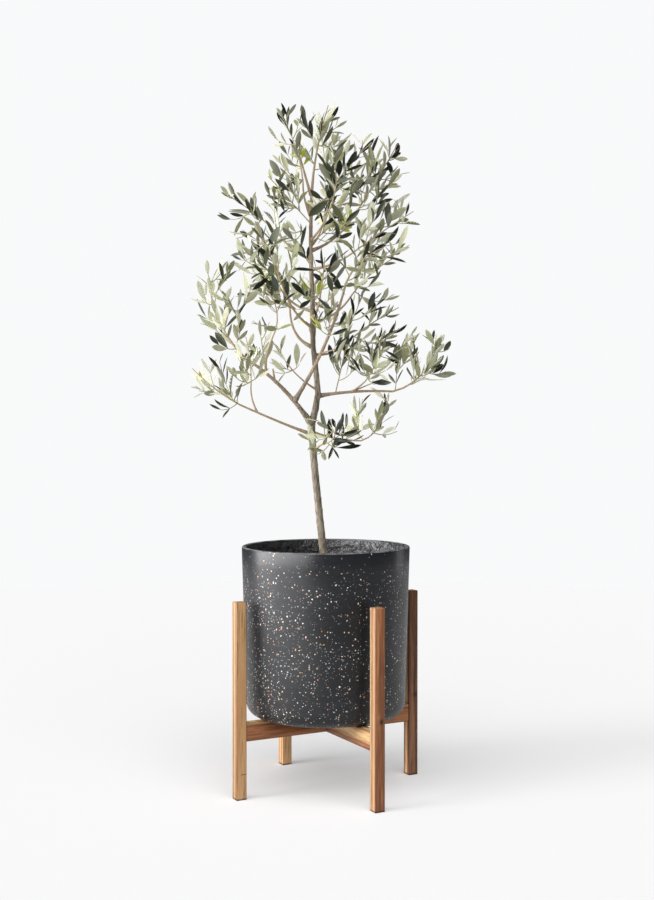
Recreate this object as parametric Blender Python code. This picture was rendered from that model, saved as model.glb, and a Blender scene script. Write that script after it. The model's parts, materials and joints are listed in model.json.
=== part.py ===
"""Potted olive tree: a young standard olive in a speckled round pot on a four-legged wooden stand.

Units are metres, +Z is up, and the origin is on the floor under the stand's axis.
-Y is the front, +X is the right of someone who looks at the front.
Run with: blender --background --python part.py
"""

import math
import random
from collections import namedtuple

import bmesh
import bpy
from mathutils import Quaternion, Vector

# Gap between pieces that touch, so that each stays a solid of its own
GAP = 0.0003
UP = Vector((0.0, 0.0, 1.0))

SMOOTH_ANGLE = math.radians(40.0)

# Stand: four square legs round the pot and two bars that cross under it
STAND_TURN = math.radians(28.2)
LEG_SIDE = 0.0197
LEG_HEIGHT = 0.3535
LEG_RADIUS = 0.1798
LEG_BEVEL = 0.0012
BAR_WIDTH = 0.0186
BAR_HEIGHT = 0.0330
BAR_TOP = 0.1368
CUTTER_MARGIN = 0.0100
LEG_NAMES = ("leg_back_right", "leg_back_left", "leg_front_left", "leg_front_right")

# Pot: a thin-walled round planter with a rounded foot, a little wider at its rim
POT_OFFSET = -0.0045
POT_BOTTOM = BAR_TOP + GAP
POT_RIM_Z = 0.4464
POT_RIM_RADIUS = 0.1550
POT_SIDE_RADIUS = 0.1468
POT_CORNER = 0.0230
POT_WALL = 0.0080
POT_FLOOR = 0.0120
POT_LIP_ROUND = 0.0020
POT_STEPS = 48
CORNER_STEPS = 4
INNER_CORNER_STEPS = 2
LIP_STEPS = 1

# Soil fills the pot to this far below the rim
SOIL_DROP = 0.0450
SOIL_TOP = POT_RIM_Z - SOIL_DROP
SOIL_CLEAR = 2.0 * GAP
SOIL_STEPS = 40

# Trunk: stations of height, sideways place, depth and radius, from the flat cut on the soil up
TRUNK_SIDES = 9
TRUNK_STEPS = 2
Station = namedtuple("Station", "height x y radius")
TRUNK = (
    Station(SOIL_TOP + GAP, -0.0055, 0.0000, 0.0112),
    Station(0.4130, -0.0068, 0.0000, 0.0081),
    Station(0.4350, -0.0090, 0.0005, 0.0070),
    Station(0.5680, -0.0230, 0.0025, 0.0066),
    Station(0.6400, -0.0292, 0.0015, 0.0064),
    Station(0.6740, -0.0298, 0.0000, 0.0066),
    Station(0.7280, -0.0188, 0.0020, 0.0054),
    Station(0.8150, -0.0280, 0.0050, 0.0048),
    Station(0.9000, -0.0290, 0.0030, 0.0044),
    Station(0.9900, -0.0322, -0.0015, 0.0037),
    Station(1.0850, -0.0308, 0.0010, 0.0029),
    Station(1.1350, -0.0270, 0.0020, 0.0021),
)

# Boughs: each leaves its parent's middle line at a height and runs to its tip; its middle
# stands off the straight line by its bow
BOUGH_SIDES = 5
BOUGH_STEPS = 4
BOUGH_LINE_STEPS = 40
FOOT_RING_SHARE = 0.5
SEAT_SEARCH = 0.012
SEAT_STEP = 0.0004
SEAT_HALVINGS = 10
Bough = namedtuple("Bough", "parent leaves tip bow foot_radius tip_radius")
BOUGHS = {
    "bough_left_fork": Bough(
        "trunk", 0.6700, (-0.150, -0.030, 0.790), (0.004, -0.006, 0.009), 0.0046, 0.0022
    ),
    "bough_crossing": Bough(
        "bough_left_fork", 0.7130, (0.032, -0.044, 0.926), (0.010, -0.006, -0.002), 0.0036, 0.0020
    ),
    "bough_left_low": Bough(
        "trunk", 0.6520, (-0.160, -0.052, 0.706), (0.006, 0.004, -0.004), 0.0027, 0.0016
    ),
    "bough_left_rising": Bough(
        "bough_left_low", 0.6920, (-0.140, -0.040, 0.744), (-0.004, 0.000, 0.000), 0.0015, 0.0012
    ),
    "bough_left_thin": Bough(
        "bough_left_fork", 0.7640, (-0.094, -0.056, 0.842), (-0.006, -0.004, -0.004), 0.0018, 0.0013
    ),
    "bough_right_long": Bough(
        "trunk", 0.7230, (0.120, 0.024, 0.732), (0.000, 0.003, 0.004), 0.0030, 0.0019
    ),
    "bough_right_middle": Bough(
        "bough_right_long", 0.7310, (0.070, 0.006, 0.752), (0.002, -0.003, 0.000), 0.0015, 0.0012
    ),
    "bough_right_low": Bough(
        "trunk", 0.6560, (0.062, 0.044, 0.640), (0.004, 0.004, -0.004), 0.0020, 0.0014
    ),
    "bough_front_short": Bough(
        "trunk", 0.6200, (-0.004, -0.024, 0.636), (0.001, -0.002, 0.004), 0.0019, 0.0014
    ),
    "bough_left_small": Bough(
        "trunk", 0.7340, (-0.062, -0.016, 0.766), (0.000, -0.002, -0.003), 0.0016, 0.0012
    ),
    "bough_left_upper": Bough(
        "trunk", 0.8130, (-0.071, 0.020, 0.884), (-0.010, 0.002, -0.010), 0.0028, 0.0017
    ),
    "bough_right_thin": Bough(
        "trunk", 0.8000, (0.030, 0.040, 0.820), (0.004, 0.004, -0.006), 0.0020, 0.0014
    ),
    "bough_right_shoulder": Bough(
        "trunk", 0.9560, (0.050, -0.018, 0.988), (0.002, -0.004, -0.006), 0.0022, 0.0014
    ),
    "bough_upper_right": Bough(
        "trunk", 0.9900, (0.048, 0.036, 1.060), (0.004, 0.004, -0.008), 0.0026, 0.0015
    ),
    "bough_upper_left": Bough(
        "trunk", 0.9760, (-0.088, -0.004, 1.016), (0.000, -0.004, -0.008), 0.0022, 0.0014
    ),
    "bough_top_left": Bough(
        "trunk", 1.0520, (-0.046, -0.016, 1.112), (-0.004, -0.004, 0.000), 0.0020, 0.0014
    ),
    "bough_top_right": Bough(
        "trunk", 1.0700, (0.010, -0.006, 1.106), (0.004, -0.002, -0.004), 0.0018, 0.0013
    ),
    "bough_back_low": Bough(
        "trunk", 0.8320, (-0.026, 0.082, 0.882), (0.002, 0.004, -0.012), 0.0026, 0.0016
    ),
    "bough_back_right": Bough(
        "trunk", 0.8600, (0.046, 0.072, 0.918), (0.004, 0.004, -0.010), 0.0024, 0.0015
    ),
    "bough_back_left": Bough(
        "trunk", 0.8800, (-0.096, 0.066, 0.938), (-0.004, 0.004, -0.010), 0.0024, 0.0015
    ),
    "bough_back_high": Bough(
        "trunk", 1.0000, (-0.010, 0.054, 1.046), (0.000, 0.006, -0.006), 0.0021, 0.0014
    ),
    "bough_front_left": Bough(
        "trunk", 0.8500, (-0.082, -0.072, 0.918), (-0.004, -0.004, -0.010), 0.0024, 0.0015
    ),
    "bough_front_low": Bough(
        "trunk", 0.8700, (-0.014, -0.088, 0.900), (0.000, -0.004, -0.012), 0.0024, 0.0015
    ),
    "bough_front_high": Bough(
        "trunk", 1.0100, (0.000, -0.052, 1.050), (0.000, -0.004, -0.006), 0.0021, 0.0014
    ),
}

# Masses of leaves: each grows from the tip of one limb and fills an egg-shaped space of its own
Mass = namedtuple("Mass", "limb middle reach")
MASSES = {
    "leaves_top": Mass("trunk", (-0.012, 0.006, 1.204), (0.058, 0.060, 0.074)),
    "leaves_top_left": Mass("bough_top_left", (-0.068, -0.022, 1.176), (0.050, 0.060, 0.088)),
    "leaves_top_right": Mass("bough_top_right", (0.044, -0.026, 1.142), (0.054, 0.060, 0.080)),
    "leaves_upper_right": Mass("bough_upper_right", (0.094, 0.040, 1.136), (0.066, 0.066, 0.090)),
    "leaves_right_shoulder": Mass("bough_right_shoulder", (0.106, -0.034, 1.024), (0.064, 0.070, 0.080)),
    "leaves_upper_left": Mass("bough_upper_left", (-0.140, -0.014, 1.054), (0.080, 0.072, 0.080)),
    "leaves_left_upper": Mass("bough_left_upper", (-0.096, 0.026, 0.944), (0.060, 0.062, 0.072)),
    "leaves_left": Mass("bough_left_fork", (-0.190, -0.034, 0.886), (0.072, 0.078, 0.094)),
    "leaves_left_thin": Mass("bough_left_thin", (-0.104, -0.080, 0.878), (0.058, 0.056, 0.064)),
    "leaves_left_rising": Mass("bough_left_rising", (-0.144, -0.040, 0.780), (0.048, 0.054, 0.058)),
    "leaves_far_left": Mass("bough_left_low", (-0.204, -0.064, 0.740), (0.056, 0.068, 0.064)),
    "leaves_left_small": Mass("bough_left_small", (-0.080, -0.022, 0.792), (0.046, 0.048, 0.052)),
    "leaves_crossing": Mass("bough_crossing", (0.058, -0.070, 0.948), (0.070, 0.072, 0.080)),
    "leaves_right_thin": Mass("bough_right_thin", (0.082, 0.048, 0.856), (0.074, 0.066, 0.072)),
    "leaves_right_long": Mass("bough_right_long", (0.175, 0.026, 0.792), (0.071, 0.072, 0.064)),
    "leaves_right_middle": Mass("bough_right_middle", (0.082, -0.010, 0.784), (0.058, 0.058, 0.052)),
    "leaves_right_low": Mass("bough_right_low", (0.088, 0.056, 0.682), (0.066, 0.060, 0.062)),
    "leaves_front_short": Mass("bough_front_short", (0.002, -0.048, 0.650), (0.066, 0.056, 0.052)),
    "leaves_back_low": Mass("bough_back_low", (-0.030, 0.142, 0.912), (0.076, 0.074, 0.078)),
    "leaves_back_right": Mass("bough_back_right", (0.094, 0.124, 0.964), (0.070, 0.076, 0.080)),
    "leaves_back_left": Mass("bough_back_left", (-0.140, 0.114, 0.980), (0.068, 0.074, 0.080)),
    "leaves_back_high": Mass("bough_back_high", (-0.002, 0.100, 1.088), (0.072, 0.070, 0.082)),
    "leaves_front_left": Mass("bough_front_left", (-0.104, -0.128, 0.966), (0.066, 0.072, 0.078)),
    "leaves_front_low": Mass("bough_front_low", (-0.010, -0.144, 0.926), (0.066, 0.070, 0.076)),
    "leaves_front_high": Mass("bough_front_high", (0.006, -0.100, 1.076), (0.070, 0.070, 0.080)),
}

# Growth rule of a mass: one stem, twigs that branch from it to evenly scattered ends, and pairs of
# leaves along both
SEED = 41
STEM_SIDES = 4
STEM_STEPS = 5
STEM_REACH = 0.78
STEM_TRIM = 0.08
STEM_BEND = 0.35
STEM_FOOT_SHARE = 0.92
STEM_TIP_RADIUS = 0.0011
TWIG_SIDES = 3
TWIG_STEPS = 2
TWIG_PROBES = 10
TWIG_LEAN = math.radians(42.0)
TWIG_REACH = 0.76
TWIG_LEAST = 0.0180
TWIG_SAG = 0.05
GOAL_SPACING = 0.0450
FULL_REACH = 0.0680
GOAL_TRIES = 500
FOOT_STEP = 0.0060
TWIG_FOOT_RADIUS = 0.0014
TWIG_TIP_RADIUS = 0.0010
LEAF_LENGTH = 0.0550
LEAF_LENGTH_SPREAD = 0.16
LEAF_WIDTH_SHARE = 0.27
LEAF_WIDTH_SPREAD = 0.11
LEAF_ROLL = 0.5
LEAF_THICKNESS = 0.0016
LEAF_WIDEST = 0.46
LEAF_SINK = 0.0004
LEAF_PITCH = 0.0330
LEAF_PITCH_SPREAD = 0.15
FIRST_PAIR = 0.7
LEAF_LEAN = math.radians(40.0)
LEAF_LEAN_SPREAD = math.radians(12.0)
LEAF_STRAY = math.radians(5.0)
LEAF_TRIES = 5
LEAF_SHRINK = 0.07
TIP_LEAF_LEAN = math.radians(8.0)
TIP_LEAF_SINK = 0.0010
LIMB_CLEARANCE = 0.0020
LEAF_CLEARANCE = 0.0045
SPACE_MARGIN = 0.0006

# Where a growing thing is tested, as shares of its length
STEM_PROBES = (0.25, 0.5, 0.75, 1.0)
BLADE_PROBES = (0.1, 0.2, 0.35, 0.5, 0.65, 0.8, 0.9, 1.0)
EDGE_PROBES = (0.0, 0.3)
EDGE_ROOT_PROBE = 0.6
PAST_ROOT = 2
NEIGHBOUR_PROBES = (0.35, 0.6, 0.85, 1.0)

# Finishes: base colour, roughness, metallic
WOOD = ("stand_wood", (0.49, 0.27, 0.12), 0.55, 0.0)
POT = ("pot_terrazzo", (0.050, 0.052, 0.058), 0.55, 0.0)
SOIL = ("soil", (0.035, 0.024, 0.017), 0.95, 0.0)
BARK = ("bark", (0.23, 0.18, 0.12), 0.85, 0.0)
LEAF = ("leaf", (0.22, 0.27, 0.15), 0.60, 0.0)


def clear_scene():
    """Removes what the file opened with."""
    for old in list(bpy.data.objects):
        bpy.data.objects.remove(old, do_unlink=True)


def finish(name, colour, roughness, metallic):
    """Makes or finds a plain material."""
    material = bpy.data.materials.get(name) or bpy.data.materials.new(name)
    material.use_nodes = True
    shader = material.node_tree.nodes["Principled BSDF"]
    shader.inputs["Base Color"].default_value = (*colour, 1.0)
    shader.inputs["Roughness"].default_value = roughness
    shader.inputs["Metallic"].default_value = metallic
    return material


def add_object(name, bm, look, parent=None):
    """Turns a bmesh into an object of the scene with one material."""
    mesh = bpy.data.meshes.new(name)
    bmesh.ops.recalc_face_normals(bm, faces=bm.faces)
    bm.to_mesh(mesh)
    bm.free()
    mesh.materials.append(finish(*look))
    piece = bpy.data.objects.new(name, mesh)
    bpy.context.scene.collection.objects.link(piece)
    piece.parent = parent
    return piece


def smooth_shade(piece):
    """Shades a round piece smooth up to its real edges."""
    piece.data.shade_smooth()
    piece.data.set_sharp_from_angle(angle=SMOOTH_ANGLE)


def add_box(name, size, look, parent):
    """Makes a box centred on its own origin."""
    bm = bmesh.new()
    bmesh.ops.create_cube(bm, size=1.0)
    bmesh.ops.scale(bm, vec=size, verts=bm.verts)
    return add_object(name, bm, look, parent)


def ease_edges(piece, width):
    """Breaks a wooden piece's edges with a small bevel."""
    bevel = piece.modifiers.new("eased_edges", "BEVEL")
    bevel.width = width
    bevel.segments = 1
    bevel.limit_method = "ANGLE"


def turned(name, profile, steps, look, parent=None):
    """Turns a profile round Z. It starts and ends on the axis and runs down on its outer side."""
    bm = bmesh.new()
    verts = [bm.verts.new((radius, 0.0, height)) for radius, height in profile]
    for upper, lower in zip(verts, verts[1:]):
        bm.edges.new((upper, lower))
    mesh = bpy.data.meshes.new(name)
    bm.to_mesh(mesh)
    bm.free()
    mesh.materials.append(finish(*look))
    piece = bpy.data.objects.new(name, mesh)
    bpy.context.scene.collection.objects.link(piece)
    piece.parent = parent
    screw = piece.modifiers.new("turned", "SCREW")
    screw.steps = steps
    screw.render_steps = steps
    screw.use_merge_vertices = True
    screw.merge_threshold = 0.0001
    return piece


def arc(centre, radius, start, end, steps):
    """Gives points of an arc in a profile, both ends included, with angles in degrees."""
    angles = [math.radians(start + (end - start) * step / steps) for step in range(steps + 1)]
    return [(centre[0] + radius * math.cos(a), centre[1] + radius * math.sin(a)) for a in angles]


def side_radius(height):
    """Gives the pot's outer radius at a height above the rounded foot."""
    share = (height - POT_BOTTOM - POT_CORNER) / (POT_RIM_Z - POT_BOTTOM - POT_CORNER)
    return POT_SIDE_RADIUS + (POT_RIM_RADIUS - POT_SIDE_RADIUS) * share


def make_pot():
    """Makes the hollow pot: rounded lip, tapering wall, rounded foot and a flat bottom."""
    inner_floor = POT_BOTTOM + POT_FLOOR
    corner = POT_CORNER - POT_WALL
    corner_centre = (POT_SIDE_RADIUS - POT_CORNER, inner_floor + corner)
    lip_out = (POT_RIM_RADIUS - POT_LIP_ROUND, POT_RIM_Z - POT_LIP_ROUND)
    lip_in = (POT_RIM_RADIUS - POT_WALL + POT_LIP_ROUND, POT_RIM_Z - POT_LIP_ROUND)
    foot = (POT_SIDE_RADIUS - POT_CORNER, POT_BOTTOM + POT_CORNER)
    profile = [(0.0, inner_floor)]
    profile += arc(corner_centre, corner, -90.0, 0.0, INNER_CORNER_STEPS)
    profile += arc(lip_in, POT_LIP_ROUND, 180.0, 90.0, LIP_STEPS)
    profile += arc(lip_out, POT_LIP_ROUND, 90.0, 0.0, LIP_STEPS)
    profile += arc(foot, POT_CORNER, 0.0, -90.0, CORNER_STEPS)
    profile.append((0.0, POT_BOTTOM))
    pot = turned("pot", profile, POT_STEPS, POT)
    pot.location.x = POT_OFFSET
    smooth_shade(pot)
    return pot


def make_soil():
    """Makes the soil, which fills the pot from its floor to just below its rim."""
    inner_floor = POT_BOTTOM + POT_FLOOR
    corner = POT_CORNER - POT_WALL
    corner_centre = (POT_SIDE_RADIUS - POT_CORNER, inner_floor + corner)
    top_radius = side_radius(SOIL_TOP) - POT_WALL - SOIL_CLEAR
    profile = [(0.0, SOIL_TOP), (top_radius, SOIL_TOP)]
    profile += arc(corner_centre, corner - SOIL_CLEAR, 0.0, -90.0, INNER_CORNER_STEPS)
    profile.append((0.0, inner_floor + SOIL_CLEAR))
    soil = turned("soil", profile, SOIL_STEPS, SOIL)
    soil.location.x = POT_OFFSET
    smooth_shade(soil)
    return soil


def make_stand():
    """Makes the four legs and the two half-lapped bars, turned as one on an empty."""
    stand = bpy.data.objects.new("stand", None)
    bpy.context.scene.collection.objects.link(stand)
    stand.rotation_euler.z = STAND_TURN
    for index, name in enumerate(LEG_NAMES):
        turn = index * math.pi / 2.0
        leg = add_box(name, (LEG_SIDE, LEG_SIDE, LEG_HEIGHT), WOOD, stand)
        leg.location = (LEG_RADIUS * math.cos(turn), LEG_RADIUS * math.sin(turn), LEG_HEIGHT / 2.0)
        leg.rotation_euler.z = turn
        ease_edges(leg, LEG_BEVEL)
    bar_length = 2.0 * (LEG_RADIUS - LEG_SIDE / 2.0 - GAP)
    for name, turn, side in (("bar_left_right", 0.0, 1.0), ("bar_front_back", math.pi / 2.0, -1.0)):
        bar = add_box(name, (bar_length, BAR_WIDTH, BAR_HEIGHT), WOOD, stand)
        bar.location.z = BAR_TOP - BAR_HEIGHT / 2.0
        bar.rotation_euler.z = turn
        cut_half_lap(bar, side)
    return stand


def cut_half_lap(bar, side):
    """Cuts the slot that lets one bar pass through the other.

    side is 1 for a slot in the upper half and -1 for one in the lower half.
    """
    slot_depth = BAR_HEIGHT / 2.0 + GAP / 2.0
    slot_width = BAR_WIDTH + 2.0 * GAP
    cutter_size = (slot_width, BAR_WIDTH + CUTTER_MARGIN, slot_depth + CUTTER_MARGIN)
    cutter = add_box("slot_cutter_" + bar.name, cutter_size, WOOD, bar)
    cutter.location.z = side * (BAR_HEIGHT / 2.0 - slot_depth + (slot_depth + CUTTER_MARGIN) / 2.0)
    cutter.hide_render = True
    cutter.display_type = "WIRE"
    slot = bar.modifiers.new("half_lap", "BOOLEAN")
    slot.operation = "DIFFERENCE"
    slot.object = cutter
    slot.solver = "EXACT"


class Path:
    """A limb's middle line with a radius at each of its points."""

    def __init__(self, points, radii):
        self.points = points
        self.radii = radii
        self.frames = ring_frames(points)

    def along(self, distance):
        """Gives the point, the direction and the frame at a distance along the line."""
        for a, b, frame in zip(self.points, self.points[1:], self.frames):
            length = (b - a).length
            if distance <= length:
                return a.lerp(b, distance / length), (b - a).normalized(), frame
            distance -= length
        return self.points[-1], self.end_direction(), self.frames[-1]

    def length(self):
        """Gives the line's length."""
        return sum((b - a).length for a, b in zip(self.points, self.points[1:]))

    def at_height(self, height):
        """Gives the point where the line passes a height."""
        for low, high in zip(self.points, self.points[1:]):
            if low.z <= height <= high.z:
                return low.lerp(high, (height - low.z) / (high.z - low.z))
        raise ValueError("the limb doesn't reach this height")

    def end_direction(self):
        """Gives the direction in which the line ends."""
        return (self.points[-1] - self.points[-2]).normalized()

    def clearance(self, point):
        """Gives the distance from a point to the limb's surface."""
        best = 1.0
        for a, b, r_a, r_b in zip(self.points, self.points[1:], self.radii, self.radii[1:]):
            run = b - a
            share = min(1.0, max(0.0, (point - a).dot(run) / run.length_squared))
            best = min(best, (point - a - run * share).length - r_a - (r_b - r_a) * share)
        return best


def smooth_through(stations, steps):
    """Runs a smooth curve through stations and gives its points, ends included."""
    padded = [2.0 * stations[0] - stations[1], *stations, 2.0 * stations[-1] - stations[-2]]
    points = []
    for a, b, c, d in zip(padded, padded[1:], padded[2:], padded[3:]):
        for step in range(steps):
            t = step / steps
            linear = (c - a) * t
            square = (2.0 * a - 5.0 * b + 4.0 * c - d) * t * t
            cube = (3.0 * b - a - 3.0 * c + d) * t * t * t
            points.append(b + 0.5 * (linear + square + cube))
    points.append(stations[-1])
    return points


def bowed(start, end, bow, steps):
    """Gives points of an arc from start to end whose middle stands off the chord by bow."""
    control = (start + end) / 2.0 + 2.0 * bow
    points = []
    for step in range(steps + 1):
        t = step / steps
        points.append(start * (1.0 - t) ** 2 + control * 2.0 * t * (1.0 - t) + end * t * t)
    return points


def tapered(first, last, count):
    """Gives radii that run evenly from the first to the last."""
    return [first + (last - first) * index / (count - 1) for index in range(count)]


def ring_frames(points):
    """Gives, for each point of a line, two directions across it that don't twist along it."""
    run = (points[1] - points[0]).normalized()
    across = run.orthogonal().normalized()
    frames = []
    for index, point in enumerate(points):
        before = points[max(index - 1, 0)]
        after = points[min(index + 1, len(points) - 1)]
        ahead = (after - before).normalized()
        across = (across - ahead * across.dot(ahead)).normalized()
        frames.append((across, ahead.cross(across)))
    return frames


def tube_rings(bm, path, sides):
    """Adds one ring of vertices for each point of a path."""
    rings = []
    for point, radius, (right, front) in zip(path.points, path.radii, path.frames):
        ring = []
        for side in range(sides):
            angle = 2.0 * math.pi * side / sides
            ring.append(bm.verts.new(point + radius * (math.cos(angle) * right + math.sin(angle) * front)))
        rings.append(ring)
    return rings


def skin_rings(bm, rings):
    """Joins rings of vertices, each to the next, by bands of faces."""
    for ring, above in zip(rings, rings[1:]):
        count = len(ring)
        for side in range(count):
            after = (side + 1) % count
            bm.faces.new((ring[side], ring[after], above[after], above[side]))


def fan_cap(bm, ring, middle):
    """Closes a ring with a fan of triangles round a middle vertex."""
    for side, vert in enumerate(ring):
        bm.faces.new((vert, middle, ring[(side + 1) % len(ring)]))


def tube(path, sides):
    """Makes a closed tapering tube with flat ends."""
    bm = bmesh.new()
    rings = tube_rings(bm, path, sides)
    skin_rings(bm, rings)
    bm.faces.new(rings[0])
    bm.faces.new(rings[-1])
    return bm


def seat(point, direction, parent):
    """Slides a point back along a bough's direction to where it lies just clear of its parent's skin."""
    far = SEAT_SEARCH
    while parent.clearance(point + direction * far) >= GAP and far > -SEAT_SEARCH:
        far -= SEAT_STEP
    near = far
    far += SEAT_STEP
    for _ in range(SEAT_HALVINGS):
        middle = (near + far) / 2.0
        if parent.clearance(point + direction * middle) < GAP:
            near = middle
        else:
            far = middle
    return point + direction * far


def bough_path(bough, parent):
    """Gives a bough's middle line, which starts at its parent's skin."""
    start = parent.at_height(bough.leaves)
    line = bowed(start, Vector(bough.tip), Vector(bough.bow), BOUGH_LINE_STEPS)
    outside = [p for p in line if parent.clearance(p) >= GAP]
    picks = [round(index * (len(outside) - 1) / BOUGH_STEPS) for index in range(BOUGH_STEPS + 1)]
    points = [outside[pick] for pick in picks]
    direction = (points[1] - points[0]).normalized()
    points[0] = seat(points[0], direction, parent)
    return Path(points, tapered(bough.foot_radius, bough.tip_radius, len(points)))


def make_bough(name, path, parent):
    """Makes a bough whose foot is hollowed to fit round its parent."""
    bm = bmesh.new()
    rings = tube_rings(bm, path, BOUGH_SIDES)
    foot_direction = (path.points[1] - path.points[0]).normalized()
    centre = path.points[0]
    inner_ring = [bm.verts.new(centre.lerp(vert.co, FOOT_RING_SHARE)) for vert in rings[0]]
    middle = bm.verts.new(centre)
    foot = [*rings[0], *inner_ring, middle]
    for vert in foot:
        vert.co = seat(vert.co, foot_direction, parent)
    skin_rings(bm, [inner_ring] + rings)
    fan_cap(bm, inner_ring, middle)
    bm.faces.new(rings[-1])
    chords = [edge.verts for edge in bm.edges if edge.verts[0] in foot and edge.verts[1] in foot]
    while any(parent.clearance((a.co + b.co) / 2.0) < GAP / 2.0 for a, b in chords):
        for vert in foot:
            vert.co += foot_direction * GAP / 3.0
    bough = add_object(name, bm, BARK)
    smooth_shade(bough)
    return bough


def limb_paths():
    """Works out the middle lines of the trunk and of every bough."""
    stations = [Vector((s.x, s.y, s.height)) for s in TRUNK]
    girths = [Vector((s.radius, 0.0, 0.0)) for s in TRUNK]
    radii = [girth.x for girth in smooth_through(girths, TRUNK_STEPS)]
    paths = {"trunk": Path(smooth_through(stations, TRUNK_STEPS), radii)}
    for name, bough in BOUGHS.items():
        paths[name] = bough_path(bough, paths[bough.parent])
    return paths


def make_limbs(paths):
    """Makes the trunk and its boughs."""
    trunk = paths["trunk"]
    bm = bmesh.new()
    rings = tube_rings(bm, trunk, TRUNK_SIDES)
    for vert in rings[0]:
        vert.co.z = SOIL_TOP + GAP
    skin_rings(bm, rings)
    bm.faces.new(rings[0])
    bm.faces.new(rings[-1])
    smooth_shade(add_object("trunk", bm, BARK))
    for name, bough in BOUGHS.items():
        make_bough(name, paths[name], paths[bough.parent])


def in_egg(point, mass, share=1.0):
    """Tells whether a point lies in a mass's egg-shaped space, scaled by a share."""
    offset = point - Vector(mass.middle)
    return sum((offset[k] / (mass.reach[k] * share)) ** 2 for k in range(3)) <= 1.0


def power(point, mass):
    """Gives the power of a point to the ball that stands for a mass's space."""
    ball = sum(mass.reach) / 3.0
    return (point - Vector(mass.middle)).length_squared - ball * ball


def keeps_to_space(point, name):
    """Tells whether a point lies in a mass's own space, clear of the planes to its neighbours."""
    mass = MASSES[name]
    if not in_egg(point, mass):
        return False
    own = power(point, mass)
    for other_name, other in MASSES.items():
        if other_name == name:
            continue
        apart = (Vector(other.middle) - Vector(mass.middle)).length
        if (power(point, other) - own) / (2.0 * apart) < SPACE_MARGIN:
            return False
    return True


def stem_path(name, paths):
    """Gives a mass's stem: on from its limb's tip, through the middle of the space.

    It ends sooner where it would touch another limb.
    """
    mass = MASSES[name]
    limb = paths[mass.limb]
    ahead = limb.end_direction()
    foot = limb.points[-1] + ahead * GAP
    middle = Vector(mass.middle)
    onward = (middle - foot).normalized()
    reach = 1.0 / math.sqrt(sum((onward[k] / mass.reach[k]) ** 2 for k in range(3)))
    share = STEM_REACH
    points = []
    while not points or (share > 0.0 and not stem_is_free(points, mass.limb, paths)):
        end = middle + onward * reach * share
        chord = (end - foot).length
        bow = (foot + ahead * chord / 2.0 - (foot + end) / 2.0) * STEM_BEND
        points = bowed(foot, end, bow, STEM_STEPS)
        points[1] = points[0] + ahead * (points[1] - points[0]).length
        share -= STEM_TRIM
    return Path(points, tapered(limb.radii[-1] * STEM_FOOT_SHARE, STEM_TIP_RADIUS, len(points)))


def stem_is_free(points, own_limb, paths):
    """Tells whether a stem's middle line stays clear of every limb but its own."""
    others = [path for limb, path in paths.items() if limb != own_limb]
    probes = [a.lerp(b, share) for a, b in zip(points, points[1:]) for share in STEM_PROBES]
    return all(path.clearance(probe) > LIMB_CLEARANCE for path in others for probe in probes)


def lean_from(direction, frame, turn, lean):
    """Leans a direction away from itself by an angle, towards a turn round itself."""
    side = frame[0] * math.cos(turn) + frame[1] * math.sin(turn)
    return (direction * math.cos(lean) + side * math.sin(lean)).normalized()


def twig_goals(name, rng):
    """Scatters a mass's twig ends evenly through its own space, the nearest to its foot first."""
    mass = MASSES[name]
    spacing = GOAL_SPACING * min(1.0, sum(mass.reach) / (3.0 * FULL_REACH))
    goals = []
    for _ in range(GOAL_TRIES):
        offset = Vector([rng.uniform(-1.0, 1.0) * mass.reach[k] for k in range(3)])
        goal = Vector(mass.middle) + offset
        if not in_egg(goal, mass, TWIG_REACH) or not keeps_to_space(goal, name):
            continue
        if all((goal - other).length > spacing for other in goals):
            goals.append(goal)
    return goals


def twig_foot(goal, wood):
    """Chooses where on a mass's wood a twig to a goal starts: near, and not square to the wood."""
    best = None
    for piece in wood:
        steps = max(2, round(piece.length() / FOOT_STEP))
        for step in range(1, steps):
            foot, along, _ = piece.along(piece.length() * step / steps)
            run = goal - foot
            off = abs(run.angle(along) - TWIG_LEAN)
            cost = run.length * (1.0 + off)
            if best is None or cost < best[0]:
                best = (cost, foot)
    return best[1]


def twig_paths(name, stem, limbs):
    """Grows a mass's twigs, each from the wood nearest to its goal, where the limbs let it."""
    rng = random.Random(f"{SEED} {name} twigs")
    goals = twig_goals(name, rng)
    goals.sort(key=lambda goal: (goal - stem.points[0]).length)
    twigs = []
    for goal in goals:
        foot = twig_foot(goal, [stem, *twigs])
        length = (goal - foot).length
        if length < TWIG_LEAST:
            continue
        bow = UP * -TWIG_SAG * length
        probes = bowed(foot, goal, bow, TWIG_PROBES)[1:]
        if all(limb.clearance(p) > LIMB_CLEARANCE for limb in limbs for p in probes):
            points = bowed(foot, goal, bow, TWIG_STEPS)
            twigs.append(Path(points, tapered(TWIG_FOOT_RADIUS, TWIG_TIP_RADIUS, len(points))))
    return twigs


Leaf = namedtuple("Leaf", "root ahead across up length width")


def leaf_points(leaf):
    """Gives a leaf's corners: root, two sides, the ridge of its upper face and tip."""
    middle = leaf.root + leaf.ahead * leaf.length * LEAF_WIDEST
    side = leaf.across * leaf.width / 2.0
    tip = leaf.root + leaf.ahead * leaf.length
    return leaf.root, middle + side, middle + leaf.up * LEAF_THICKNESS, middle - side, tip


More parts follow.
